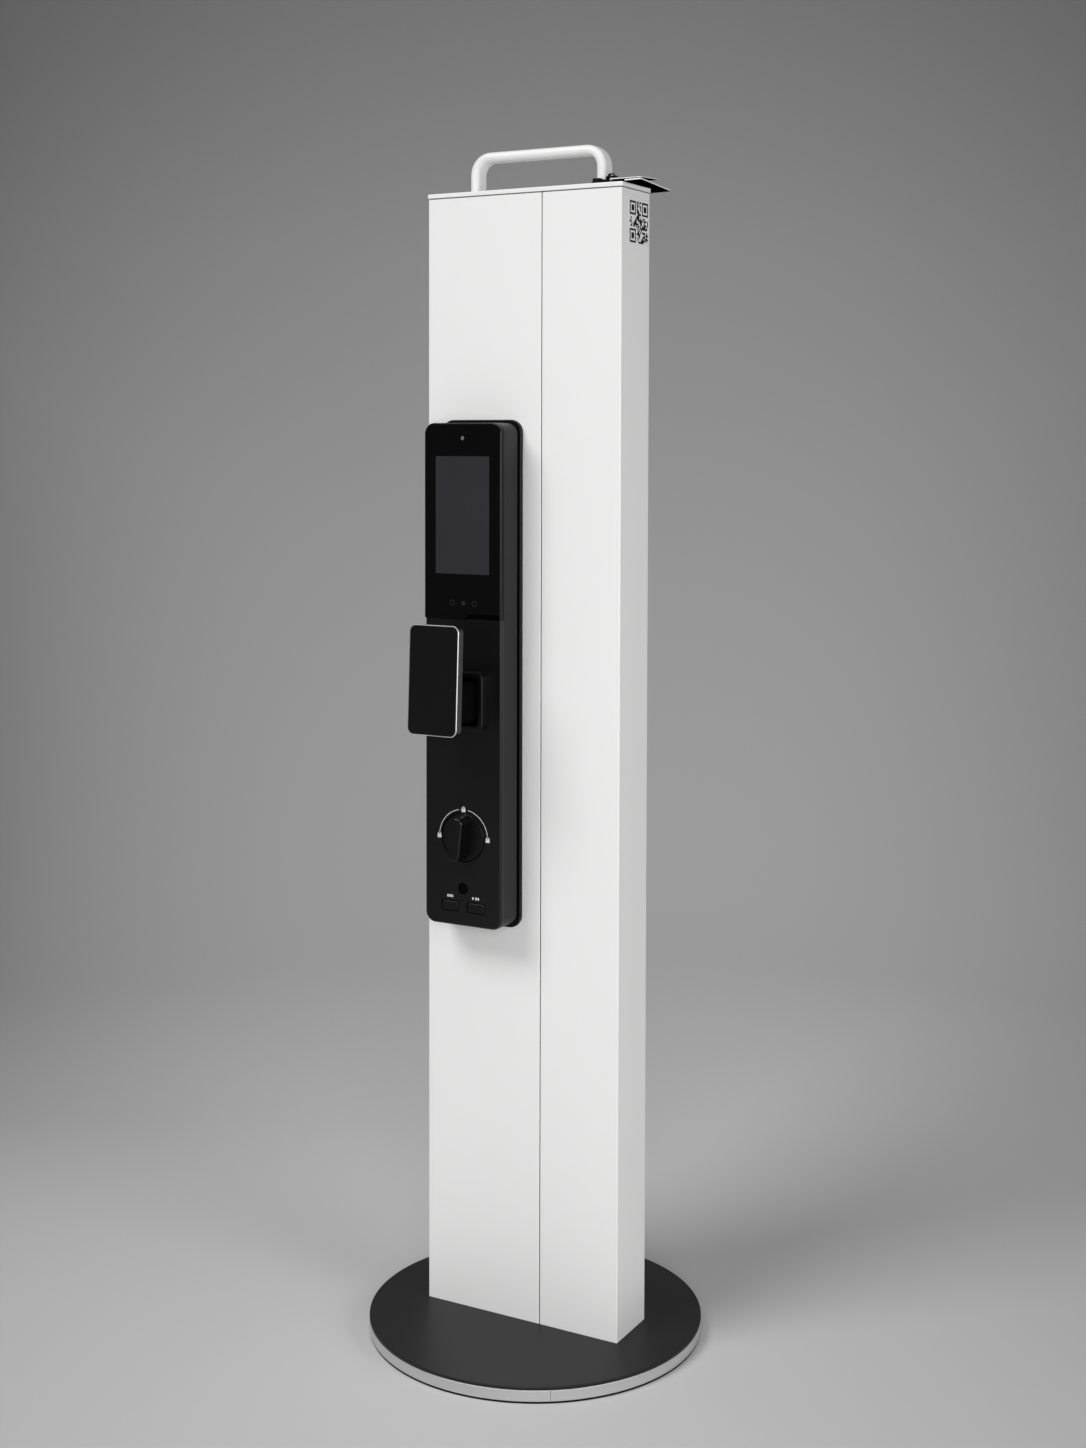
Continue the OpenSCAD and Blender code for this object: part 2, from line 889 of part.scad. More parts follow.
module upper_bezel() {
    color("#181818")
        on_front()
            difference() {
                translate([0, 0, shell_top])
                    linear_extrude(bezel_top - shell_top)
                        unit_outline(0, seam_z, unit_top);
                slab(screen_w + 2 * sheet_fit, screen_h + 2 * sheet_fit, 1, screen_z, shell_top - 1,
                    bezel_top + 1);
                drill(lens_d / 2 + sheet_fit, 0, lens_z, shell_top - 1, bezel_top + 1);
                finger_notch(shell_top + 1.5, bezel_top + 1);
            }
}

module glass_panel() {
    color("#0a0a0c")
        on_front()
            difference() {
                unit_soft(seam_z, unit_top + 1, bezel_top, glass_top, glass_soft);
                drill(lens_d / 2 + sheet_fit, 0, lens_z, bezel_top - 1, glass_top + 1);
                finger_notch(bezel_top - 1, glass_top + 1);
            }
}

module display() {
    color("#303338")
        on_front()
            slab(screen_w, screen_h, 0.8, screen_z, bezel_top - 3.5, bezel_top);
}

module inner_camera() {
    color("#3c3c40")
        on_front()
            drill(lens_d / 2, 0, lens_z, bezel_top - 5, glass_top - 0.2);
}

board_t = 1.6;
board_w = unit_w - 2 * plastic_t - 10.4;
board_z0 = seam_z + 24.7;
board_z1 = unit_top - 6.3;
chip_w = 20;
plug_w = 30;
plug_h = 8;
main_board_t = housing_floor + 2;

module main_board() {
    color("darkgreen")
        on_front()
            difference() {
                union() {
                    slab(board_w, board_z1 - board_z0, 2, (board_z0 + board_z1) / 2, main_board_t,
                        main_board_t + board_t);
                    slab(chip_w, chip_w, 0.5, (board_z0 + board_z1) / 2 + chip_w / 2, main_board_t + board_t,
                        main_board_t + board_t + 1.5);
                    slab(plug_w, plug_h, 0.5, wire_z - wire_r - plug_h, main_board_t + board_t,
                        main_board_t + board_t + 4);
                    drill(4, 0, lens_z, main_board_t, bezel_top - 5);
                }
                drill(wire_r, 0, wire_z, 0, main_board_t + board_t + 1);
            }
}

switch_t = 3;
button_back = shell_top - 1;
button_board_t = button_back - 1.2 - switch_t - board_t;
button_board_w = 62;
button_board_h = 32;
button_board_zc = (key_z + reset_z) / 2 - 0.9;

module button_board() {
    color("darkgreen")
        on_front() {
            slab(button_board_w, button_board_h, 2, button_board_zc, button_board_t,
                button_board_t + board_t);
            for (p = [[0, reset_z], [-key_pitch / 2, key_z], [key_pitch / 2, key_z]])
                translate([p[0] - 3, p[1] - 3, button_board_t + board_t])
                    cube([6, 6, switch_t]);
        }
}

cell_r = 9.15;
cell_len = 65;
cell_pitch = 19;
cell_z = turn_z + 28.7;
cell_t = housing_floor + 0.8 + cell_r;

module battery_tray() {
    color("#303030")
        on_front()
            difference() {
                slab(3 * cell_pitch + 5, cell_len + 5, 2, cell_z + cell_len / 2, housing_floor, cell_t);
                for (i = [-1, 0, 1])
                    translate([i * cell_pitch, cell_z - 0.3, cell_t])
                        rotate([-90, 0, 0])
                            cylinder(r = cell_r + 0.15, h = cell_len + 0.6);
            }
}

module battery_cells() {
    color("steelblue")
        on_front()
            for (i = [-1, 0, 1])
                translate([i * cell_pitch, cell_z, cell_t])
                    rotate([-90, 0, 0])
                        cylinder(r = cell_r, h = cell_len);
}

// ---- Handles -------------------------------------------------------------------

// Collar round a handle's arm, with a sleeve into the cover
module collar(face) {
    in_w = collar_w - 2 * collar_wall;
    in_h = collar_h - 2 * collar_wall;
    in_r = collar_r - collar_wall;
    difference() {
        union() {
            soft_slab(collar_w, collar_h, collar_r, pivot_z, face, face + collar_t, collar_soft);
            slab(in_w + 2 - 2 * sheet_fit, in_h + 2 - 2 * sheet_fit, in_r + 0.8, pivot_z,
                face - sleeve_len, face + 1);
        }
        slab(in_w, in_h, in_r, pivot_z, face - sleeve_len - 1, face + collar_t + 1);
    }
}

// Children placed at the leaning handle plate, outwards from its back
module at_palm(face) {
    translate([0, pivot_z + palm_rise, face + palm_reach - palm_t / 2])
        rotate([-palm_lean, 0, 0])
            translate([0, 0, -palm_t / 2])
                children();
}

// Handle plate with a step for its trim
module palm_plate(face) {
    step_t = palm_t - trim_t;
    at_palm(face) {
        translate([0, 0, step_t])
            mirror([0, 0, 1])
                soft_slab(palm_w, palm_h, palm_r, 0, 0, step_t, palm_soft);
        slab(palm_w - 2 * trim_w, palm_h - 2 * trim_w, palm_r - trim_w, 0, step_t, palm_t);
    }
}

module palm_trim(face) {
    at_palm(face)
        translate([0, 0, palm_t - trim_t])
            linear_extrude(trim_t)
                difference() {
                    round_rect(palm_w, palm_h, palm_r);
                    round_rect(palm_w - 2 * trim_w, palm_h - 2 * trim_w, palm_r - trim_w);
                }
}

// Arm from the pivot drum to the back of the plate
module arm(face) {
    pivot_t = face - pivot_in;
    difference() {
        union() {
            pivot_rod(face, drum_r, arm_w / 2);
            slab(arm_w, arm_h, 5, pivot_z, pivot_t + arm_root, face + palm_reach - palm_t / 2);
        }
        pivot_rod(face, pin_d / 2 + run_fit, arm_w);
        at_palm(face)
            translate([-palm_w, -palm_h, 0])
                cube([2 * palm_w, 2 * palm_h, 2 * palm_t]);
    }
}

module inner_collar() {
    color("#1c1c1c")
        on_front()
            collar(cover_top);
}

module inner_arm() {
    color("#151515")
        on_front()
            arm(cover_top);
}

module inner_palm_plate() {
    color("#1e1e1e")
        on_front()
            palm_plate(cover_top);
}

module inner_trim() {
    color("silver")
        on_front()
            palm_trim(cover_top);
}

module handle_pins() {
    color("silver") {
        on_front()
            pivot_rod(cover_top, pin_d / 2, pin_half);
        on_back()
            pivot_rod(outer_front, pin_d / 2, pin_half);
    }
}

// ---- Thumbturn and buttons -----------------------------------------------------

// Section of the finger bar, narrower towards its bevelled top
module bar_section(w, h) {
    top = w / 2 - bar_taper;
    polygon([[-w / 2, 0], [w / 2, 0], [top, h - bar_bevel], [top - bar_bevel, h],
        [bar_bevel - top, h], [-top, h - bar_bevel]]);
}

module finger_bar() {
    foot_r = turn_d / 2 - 0.6;
    translate([0, 0, cover_top - 1])
        intersection() {
            cylinder(r1 = foot_r, r2 = foot_r - bar_taper, h = bar_h + 1);
            translate([0, turn_d / 2, 0])
                rotate([90, 0, 0])
                    linear_extrude(turn_d)
                        bar_section(bar_w, bar_h + 1);
        }
}

module thumbturn() {
    disc_t = 4;
    color("#161616")
        on_front()
            translate([0, turn_z, 0])
                rotate([0, 0, -bar_turn])
                    difference() {
                        union() {
                            drill(turn_d / 2, 0, 0, cover_top - disc_t, cover_top);
                            drill(stem_r, 0, 0, plate_top - 2, cover_top - disc_t + 0.5);
                            finger_bar();
                        }
                        translate([-spindle_w / 2, -spindle_w / 2, 0])
                            cube([spindle_w, spindle_w, cover_top - disc_t - 6]);
                    }
}

module turn_spindle() {
    side = spindle_w - 2 * run_fit;
    color("silver")
        on_front()
            translate([0, turn_z, 0])
                rotate([0, 0, -bar_turn])
                    translate([-side / 2, -side / 2, -post_d / 2 - case_t / 2 - 2])
                        cube([side, side, post_d / 2 + case_t / 2 + 2 + cover_top - 11]);
}

// Tooth outline pointing down from the pitch circle
module gear_tooth(up, down) {
    polygon([[-tooth_root_w / 2, up], [tooth_root_w / 2, up],
        [tooth_tip_w / 2, -down], [-tooth_tip_w / 2, -down]]);
}

module bolt_pinion() {
    color("goldenrod")
        translate([lock_x, gear_t / 2, turn_z])
            rotate([90, 0, 0])
                difference() {
                    union() {
                        cylinder(r = pitch_r - tooth_down + 0.1, h = gear_t);
                        for (i = [0 : pinion_teeth - 1])
                            rotate([0, 0, i * 360 / pinion_teeth])
                                translate([0, -pitch_r])
                                    linear_extrude(gear_t)
                                        gear_tooth(tooth_down + 0.5, tooth_up);
                    }
                    rotate([0, 0, -bar_turn])
                        translate([-spindle_w / 2, -spindle_w / 2, -1])
                            cube([spindle_w, spindle_w, gear_t + 2]);
                }
}

module round_button() {
    color("#080808")
        on_front()
            drill(reset_d / 2, 0, reset_z, button_back, cover_top - 1.2);
}

key_proud = 0.4;

module long_button(side) {
    color("#1c1c1c")
        on_front()
            translate([side * key_pitch / 2, 0, 0])
                soft_slab(key_w, key_h, 2, key_z, button_back, cover_top + key_proud, key_proud);
}

module left_button() {
    long_button(-1);
}

module right_button() {
    long_button(1);
}

module through_bolts() {
    color("silver")
        for (z = thru_zs)
            translate([lock_x, -post_d / 2 - plate_top, z])
                rotate([-90, 0, 0])
                    screw(thru_r, thru_head_r, thru_head_h,
                        plate_top - thru_head_h + post_d + outer_boss_len - 1);
}

// ---- Mortise lock --------------------------------------------------------------

bolt_zs = [for (i = [-1, 0, 1]) carriage_zc + i * bolt_pitch];
latch_gap = 0.15;

module mortise_case() {
    color("silver")
        difference() {
            translate([edge_x, -case_t / 2, case_zc - case_h / 2])
                cube([case_d, case_t, case_h]);
            translate([edge_x + case_wall, -case_t / 2 + case_wall, case_zc - case_h / 2 + case_wall])
                cube([case_d - 2 * case_wall, case_t - 2 * case_wall, case_h - 2 * case_wall]);
            for (z = bolt_zs)
                translate([edge_x - 1, 0, z])
                    rotate([0, 90, 0])
                        cylinder(r = bolt_d / 2 + 2 * run_fit, h = 5);
            translate([edge_x - 1, -latch_w / 2 - latch_gap, latch_z - latch_h / 2 - latch_gap])
                cube([5, latch_w + 2 * latch_gap, latch_h + 2 * latch_gap]);
            translate([lock_x, -case_t, turn_z])
                rotate([-90, 0, 0])
                    cylinder(r = spindle_w, h = 2 * case_t);
        }
}

module edge_faceplate() {
    color("silver")
        difference() {
            translate([leaf_left, -face_w / 2, case_zc - face_h / 2])
                cube([face_t, face_w, face_h]);
            for (z = bolt_zs)
                translate([leaf_left - 1, 0, z])
                    rotate([0, 90, 0])
                        cylinder(r = bolt_d / 2 + 2 * run_fit, h = face_t + 2);
            translate([leaf_left - 1, -latch_w / 2 - latch_gap, latch_z - latch_h / 2 - latch_gap])
                cube([face_t + 2, latch_w + 2 * latch_gap, latch_h + 2 * latch_gap]);
            for (z = face_screw_zs)
                translate([leaf_left, 0, z])
                    rotate([0, 90, 0]) {
                        translate([0, 0, -1])
                            cylinder(r = face_screw_r + screw_fit, h = face_t + 2);
                        countersunk(sheet_fit);
                    }
        }
}

face_screw_r = face_screw_d / 2;
face_screw_zs = [case_zc - face_h / 2 + 8, case_zc + face_h / 2 - 8];
tab_len = 14;

// Countersunk head with its face at the origin, grown by a clearance
module countersunk(fit) {
    cylinder(r1 = 2 * face_screw_r + fit, r2 = face_screw_r + fit, h = face_screw_r);
}

module faceplate_tabs() {
    color("gray")
        for (side = [-1, 1])
            difference() {
                translate([0, 0, case_zc + side * (face_h / 2 - 1)]) {
                    translate([edge_x, -face_w / 2, -tab_len])
                        cube([4, face_w, 2 * tab_len]);
                    translate([leaf_left + wall, -face_w / 2, side > 0 ? 1 + sheet_fit : -tab_len])
                        cube([face_t, face_w, tab_len - 1 - sheet_fit]);
                }
                translate([edge_x - 2, 0, case_zc + side * (face_h / 2 - 8)])
                    rotate([0, 90, 0])
                        cylinder(r = face_screw_r + run_fit, h = 8);
            }
}

module faceplate_screws() {
    color("silver")
        for (z = face_screw_zs)
            translate([leaf_left, 0, z])
                rotate([0, 90, 0]) {
                    countersunk(0);
                    cylinder(r = face_screw_r, h = face_t + 3.5);
                }
}

module dead_bolts() {
    slide_t = 6;
    slide_x = edge_x + case_wall + bolt_throw * 2 + 2;
    color("gainsboro") {
        for (z = bolt_zs)
            translate([leaf_left - bolt_rest_out, 0, z])
                rotate([0, 90, 0]) {
                    cylinder(r1 = bolt_d / 2 - bolt_nose, r2 = bolt_d / 2, h = bolt_nose);
                    translate([0, 0, bolt_nose])
                        cylinder(r = bolt_d / 2, h = slide_x - leaf_left + bolt_rest_out + 1 - bolt_nose);
                }
        difference() {
            translate([slide_x, -slide_t / 2, carriage_zc - carriage_h / 2])
                cube([44, slide_t, rack_z + tooth_up - carriage_zc + carriage_h / 2]);
            translate([lock_x, slide_t, rack_z])
                rotate([90, 0, 0])
                    linear_extrude(2 * slide_t)
                        for (i = [-5 : 5])
                            translate([i * tooth_pitch, 0])
                                rack_gap();
        }
    }
}

// Gap between two rack teeth
module rack_gap() {
    slack = 0.5;
    polygon([[-tooth_root_w / 2 - slack, tooth_down + 1], [tooth_root_w / 2 + slack, tooth_down + 1],
        [tooth_tip_w / 2 + slack, -tooth_up - 0.3], [-tooth_tip_w / 2 - slack, -tooth_up - 0.3]]);
}

module latch_bolt() {
    bevel = 9;
    color("gainsboro")
        translate([leaf_left - latch_out, 0, latch_z - latch_h / 2])
            linear_extrude(latch_h)
                polygon([[0, latch_w / 2 - 2], [2, latch_w / 2], [latch_len, latch_w / 2],
                    [latch_len, -latch_w / 2], [bevel + 1, -latch_w / 2], [0, latch_w / 2 - bevel]]);
}

module latch_spring() {
    x0 = leaf_left - latch_out + latch_len;
    x1 = edge_x + case_d - case_wall;
    color("silver")
        translate([x0 + 0.1, 0, latch_z])
            rotate([0, 90, 0])
                linear_extrude(x1 - x0 - 0.2, twist = -360 * 6, slices = 120, $fn = 8)
                    translate([spring_r, 0])
                        circle(spring_wire, $fn = 8);
}

// ---- Outside unit --------------------------------------------------------------

outer_boss_len = 14;
key_cyl_z = turn_z - 20;

module outer_gasket() {
    color("#0c0c0c")
        on_back()
            difference() {
                slab(unit_w - 1, unit_h - 1, unit_r, unit_zc, 0, gasket_t);
                for (z = thru_zs)
                    drill(thru_r + screw_fit, 0, z, -1, gasket_t + 1);
                drill(wire_r, 0, wire_z, -1, gasket_t + 1);
                drill(drum_r + 3, 0, turn_z, -1, gasket_t + 1);
            }
}

// Steel plate behind the outside housing, with the pin's ears and bolt bosses
module outer_back_plate() {
    plate_edge = outer_skin + sheet_fit;
    color("gray")
        on_back()
            difference() {
                union() {
                    slab(unit_w - 2 * plate_edge, unit_h - 2 * plate_edge, unit_r - plate_edge,
                        unit_zc, gasket_t, gasket_t + plastic_t);
                    for (z = thru_zs)
                        drill(boss_r, 0, z, gasket_t, outer_boss_len);
                    pivot_ears(outer_front, gasket_t + plastic_t - 0.5);
                }
                for (z = thru_zs)
                    drill(thru_r + run_fit, 0, z, gasket_t - 1, outer_boss_len + 1);
                pivot_rod(outer_front, pin_d / 2 + 0.02, pin_half);
                drill(wire_r, 0, wire_z, 0, outer_front);
            }
}

module outer_housing() {
    color("#1c1c1c")
        on_back()
            difference() {
                soft_slab(unit_w, unit_h, unit_r, unit_zc, gasket_t, outer_front, outer_soft);
                slab(unit_w - 2 * outer_skin, unit_h - 2 * outer_skin, unit_r - outer_skin,
                    unit_zc, gasket_t - 1, outer_front - outer_skin);
                collar_opening(outer_front, outer_front - 5, outer_front + 1);
                drill(11.2, 0, key_cyl_z, outer_front - 5, outer_front + 1);
                drill(2 + 2 * run_fit, 0, key_cyl_z + 20, outer_front - 5, outer_front + 1);
            }
}

module outer_glass() {
    color("#08080a")
        on_back()
            difference() {
                slab(unit_w - 2 * outer_edge, outer_glass_z1 - outer_glass_z0, 6,
                    (outer_glass_z0 + outer_glass_z1) / 2, outer_front, outer_front + 2);
                drill(lens_d, 0, lens_z - 8, outer_front - 1, outer_front + 3);
            }
}

module outer_collar() {
    color("#1c1c1c")
        on_back()
            collar(outer_front);
}

module outer_arm() {
    color("#151515")
        on_back()
            arm(outer_front);
}

module outer_palm_plate() {
    color("#1e1e1e")
        on_back() {
            palm_plate(outer_front);
            palm_trim(outer_front);
        }
}

module key_cylinder() {
    color("goldenrod")
        on_back()
            difference() {
                drill(11, 0, key_cyl_z, outer_front - 14, outer_front - 0.5);
                translate([-1, key_cyl_z - 5, outer_front - 6])
                    cube([2, 10, 8]);
            }
}

module key_cover() {
    color("#1c1c1c")
        on_back()
            union() {
                soft_slab(30, 44, 6, key_cyl_z + 6, outer_front + 0.3, outer_front + 3, 0.8);
                slab(16, 3, 1.4, key_cyl_z - 12, outer_front + 2, outer_front + 4.2);
                drill(2, 0, key_cyl_z + 20, outer_front - 2.2, outer_front + 0.5);
            }
}

base_mat();
base_core();
base_band();
base_top_plate();
base_screws();
leaf_section();
frame_section();
leaf_foot();
frame_foot();
tie_screws();
leaf_top_block();
frame_top_block();
top_cap();
carry_handle();
handle_screws();
clip_body();
clip_lever();
clip_pin();
tag_lower();
tag_upper();
inner_gasket();
inner_mount_plate();
inner_housing();
lower_cover();
upper_bezel();
glass_panel();
display();
inner_camera();
main_board();
button_board();
battery_tray();
battery_cells();
inner_collar();
inner_arm();
inner_palm_plate();
inner_trim();
handle_pins();
thumbturn();
turn_spindle();
bolt_pinion();
round_button();
left_button();
right_button();
through_bolts();
mortise_case();
edge_faceplate();
faceplate_tabs();
faceplate_screws();
dead_bolts();
latch_bolt();
latch_spring();
outer_gasket();
outer_back_plate();
outer_housing();
outer_glass();
outer_collar();
outer_arm();
outer_palm_plate();
key_cover();
key_cylinder();
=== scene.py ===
# %% [markdown]
# # A door lock demonstration stand
# The stand is a short piece of door, made of a 120 mm leaf and an 80 mm frame section, on a
# heavy round base. A smart lock is fitted to it: a long black unit with a screen, a push
# handle and a thumbturn in front, and a second unit at the back.
# The construction is loaded first as a fixed frame. Every new piece takes its place from it.

# %% Load the construction
import json
import math

import bmesh
import bpy
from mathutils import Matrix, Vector


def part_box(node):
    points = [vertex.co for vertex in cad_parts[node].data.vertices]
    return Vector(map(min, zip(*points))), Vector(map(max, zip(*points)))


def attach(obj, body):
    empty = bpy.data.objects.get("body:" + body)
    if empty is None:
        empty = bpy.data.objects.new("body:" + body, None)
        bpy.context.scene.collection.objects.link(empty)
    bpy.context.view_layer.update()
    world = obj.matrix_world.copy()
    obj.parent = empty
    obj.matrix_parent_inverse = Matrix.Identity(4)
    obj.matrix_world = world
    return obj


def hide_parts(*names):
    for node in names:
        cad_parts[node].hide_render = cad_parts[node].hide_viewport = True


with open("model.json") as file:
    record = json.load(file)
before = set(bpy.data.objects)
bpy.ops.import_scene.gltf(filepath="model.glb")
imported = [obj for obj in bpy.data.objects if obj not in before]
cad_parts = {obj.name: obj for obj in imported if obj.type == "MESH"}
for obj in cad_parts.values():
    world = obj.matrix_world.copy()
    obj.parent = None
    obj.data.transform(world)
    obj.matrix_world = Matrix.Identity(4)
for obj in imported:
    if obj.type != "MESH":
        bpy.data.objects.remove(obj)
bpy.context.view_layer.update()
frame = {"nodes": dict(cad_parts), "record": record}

MM = 0.001
nodes = frame["nodes"]
print("construction nodes:", len(nodes))

# %% [markdown]
# ## Camera
# A product view from the right and a little above the lock, with the verticals kept upright
# by sliding the lens down instead of tilting the camera. `shift_y` does that.

# %% Camera
bpy.ops.object.camera_add(
    location=(0.8686, -1.5631, 0.8254),
    rotation=(math.radians(87.447), math.radians(-0.131), math.radians(28.987)),
)
camera = bpy.context.object
camera.name = "view_camera"
camera.data.sensor_width = 36
camera.data.lens = 48.25
camera.data.shift_x = 0.00225
camera.data.shift_y = -0.1341
bpy.context.scene.camera = camera
print("camera lens", round(camera.data.lens, 2), "mm")

# %% [markdown]
# ## Selecting and shaping by code
# Blender's operators act on what is selected, as they do by hand. So each helper first
# deselects everything, then makes one object active, and picks edges or faces by where they
# lie. A finished piece keeps its place in its mesh, with its origin at the world's origin.

# %% Small modelling helpers
TINY = 0.02 * MM


def object_mode():
    bpy.ops.object.mode_set(mode="OBJECT")


def deselect():
    if bpy.context.mode != "OBJECT":
        object_mode()
    bpy.ops.object.select_all(action="DESELECT")


def activate(*objects):
    deselect()
    for obj in objects:
        obj.select_set(True)
    bpy.context.view_layer.objects.active = objects[0]


def settle(name):
    """Names the active object and moves its place into its mesh."""
    obj = bpy.context.object
    obj.name = name
    obj.data.name = name
    bpy.ops.object.transform_apply(location=True, rotation=True, scale=True)
    return obj


def placed(obj, spot, turn):
    """Moves and turns a piece that was modelled at the origin."""
    obj.location = spot
    obj.rotation_euler = turn
    activate(obj)
    return settle(obj.name)


def middle(node):
    """Centre of a construction node's box."""
    low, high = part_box(node)
    return (low + high) / 2


def block(name, low, high):
    """A box from its lowest to its highest corner."""
    low, high = Vector(low), Vector(high)
    deselect()
    bpy.ops.mesh.primitive_cube_add(size=1, location=(low + high) / 2, scale=high - low)
    return settle(name)


TURNS = {"X": (0, math.pi / 2, 0), "Y": (math.pi / 2, 0, 0), "Z": (0, 0, 0)}


def rod(name, centre, axis, radius, length, sides=64):
    """A round bar along X, Y or Z."""
    deselect()
    bpy.ops.mesh.primitive_cylinder_add(
        vertices=sides, radius=radius, depth=length, location=centre, rotation=TURNS[axis]
    )
    return settle(name)


def edit(obj, kind, wanted=None):
    """Opens a piece's mesh with all of it selected, or what passes a test."""
    activate(obj)
    bpy.ops.object.mode_set(mode="EDIT")
    bpy.ops.mesh.select_mode(type=kind)
    if wanted is None:
        bpy.ops.mesh.select_all(action="SELECT")
        return
    bpy.ops.mesh.select_all(action="DESELECT")
    mesh = bmesh.from_edit_mesh(obj.data)
    for item in {"VERT": mesh.verts, "EDGE": mesh.edges, "FACE": mesh.faces}[kind]:
        if wanted(item):
            item.select_set(True)
    bmesh.update_edit_mesh(obj.data)


def bevel_edges(obj, wanted, width, segments=4):
    """Rounds the edges whose two ends pass the test."""
    edit(obj, "EDGE", lambda edge: wanted(edge.verts[0].co, edge.verts[1].co))
    bpy.ops.mesh.bevel(offset=width, segments=segments, affect="EDGES")
    object_mode()
    return obj


def along(axis):
    """Test for edges that run along one axis."""
    others = [i for i in range(3) if i != axis]
    return lambda a, b: all(abs(a[i] - b[i]) < TINY for i in others)


def in_plane(axis, level):
    """Test for edges that lie in a plane across one axis."""
    return lambda a, b: abs(a[axis] - level) < TINY and abs(b[axis] - level) < TINY


def apply_modifier(obj, kind, **settings):
    activate(obj)
    modifier = obj.modifiers.new(kind.lower(), kind)
    for key, value in settings.items():
        setattr(modifier, key, value)
    bpy.ops.object.modifier_apply(modifier=modifier.name)
    return obj


def smooth(obj, angle=35):
    """Smooth shading that stays flat on the large faces and bends only on the small ones."""
    activate(obj)
    bpy.ops.object.shade_smooth_by_angle(angle=math.radians(angle))
    return apply_modifier(obj, "WEIGHTED_NORMAL", weight=100, keep_sharp=True)


def cut(obj, *cutters):
    """Takes each cutter's shape out of a piece."""
    for cutter in cutters:
        apply_modifier(obj, "BOOLEAN", operation="DIFFERENCE", solver="EXACT", object=cutter)
        bpy.data.objects.remove(cutter, do_unlink=True)
    return obj


def fuse(obj, *others):
    """Joins solids into one, with the hidden walls taken out."""
    for other in others:
        activate(obj)
        apply_modifier(obj, "BOOLEAN", operation="UNION", solver="EXACT", object=other)
        bpy.data.objects.remove(other, do_unlink=True)
    return obj


def soften(obj, width, segments=3, angle=50):
    """Breaks every edge that is still sharp."""
    return apply_modifier(
        obj, "BEVEL", width=width, segments=segments, limit_method="ANGLE",
        angle_limit=math.radians(angle),
    )


def join(name, *objects):
    activate(*objects)
    bpy.ops.object.join()
    objects[0].name = name
    objects[0].data.name = name
    return objects[0]


def outward_normals(obj):
    edit(obj, "VERT")
    bpy.ops.mesh.remove_doubles(threshold=0.001 * MM)
    bpy.ops.mesh.normals_make_consistent(inside=False)
    object_mode()
    return obj


def faces_at(axis, level):
    """Test for faces that lie at one level across an axis."""
    return lambda face: (
        abs(face.calc_center_median()[axis] - level) < TINY and abs(face.normal[axis]) > 0.9
    )


def slide(x=0, y=0, z=0):
    """Extrudes what is selected and moves the new part."""
    bpy.ops.mesh.extrude_region_move(TRANSFORM_OT_translate={"value": (x, y, z)})


def hollow(obj, level, rim, depth):
    """Insets the face at one level along Y and pushes it into the body by a signed depth."""
    edit(obj, "FACE", faces_at(1, level))
    bpy.ops.mesh.inset(thickness=rim)
    slide(y=depth)
    object_mode()
    return obj


def spin(angle, centre, axis, steps):
    """Spins what is selected by the right-hand rule, which the operator turns round."""
    bpy.ops.mesh.spin(steps=steps, angle=-angle, center=centre, axis=axis)


made = []


def finish_piece(obj, material, body, slot, *replaced):
    """Paints a piece, ties it to its body and lets it stand for its CAD nodes."""
    slots = [face.material_index for face in obj.data.polygons]
    obj.data.materials.clear()
    for paint in material if isinstance(material, tuple) else (material,):
        obj.data.materials.append(paint)
    obj.data.polygons.foreach_set("material_index", slots)
    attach(obj, body)
    if replaced:
        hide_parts(*replaced)
    made.append(obj.name)
    print(obj.name, len(obj.data.polygons), "faces")
    return obj


# %% [markdown]
# ## Material building blocks
# Three effects come back in many finishes: the fine grain of moulded plastic and powder
# coat with a slow change of tone, the long lines of brushed metal, and a rectangle that
# marks off a printed or lit field. The first two are node groups with named inputs. The
# shader itself always stays in the material.

# %% Node groups
FLOAT, COLOR, VECTOR = "NodeSocketFloat", "NodeSocketColor", "NodeSocketVector"


def new_group(name, own_input):
    """A node group with the sockets that every finish shares, and one of its own."""
    group = bpy.data.node_groups.new(name, "ShaderNodeTree")
    shared = (
        ("Vector", VECTOR), ("Tone", COLOR), ("Tone Spread", FLOAT), ("Relief", FLOAT),
        ("Roughness", FLOAT), ("Roughness Spread", FLOAT),
    )
    for label, kind in (*shared, own_input):
        group.interface.new_socket(name=label, in_out="INPUT", socket_type=kind)
    for label, kind in (("Color", COLOR), ("Roughness", FLOAT), ("Normal", VECTOR)):
        group.interface.new_socket(name=label, in_out="OUTPUT", socket_type=kind)
    return group, group.nodes.new("NodeGroupInput"), group.nodes.new("NodeGroupOutput")


def feed(tree, value, socket):
    """Gives a socket a constant or another node's result."""
    if isinstance(value, bpy.types.NodeSocket):
        tree.links.new(value, socket)
    else:
        socket.default_value = value


def math_node(tree, operation, *values):
    """A Math node fed by numbers or sockets."""
    node = tree.nodes.new("ShaderNodeMath")
    node.operation = operation
    for socket, value in zip(node.inputs, values):
        feed(tree, value, socket)
    return node.outputs[0]


def scaled_noise(tree, vector, scale, detail):
    noise = tree.nodes.new("ShaderNodeTexNoise")
    noise.inputs["Detail"].default_value = detail
    feed(tree, vector, noise.inputs["Vector"])
    feed(tree, scale, noise.inputs["Scale"])
    return noise.outputs["Fac"]


def toned(tree, colour, amount):
    """A colour made lighter or darker by a changing amount round 1."""
    node = tree.nodes.new("ShaderNodeVectorMath")
    node.operation = "SCALE"
    feed(tree, colour, node.inputs[0])
    feed(tree, amount, node.inputs["Scale"])
    return node.outputs[0]


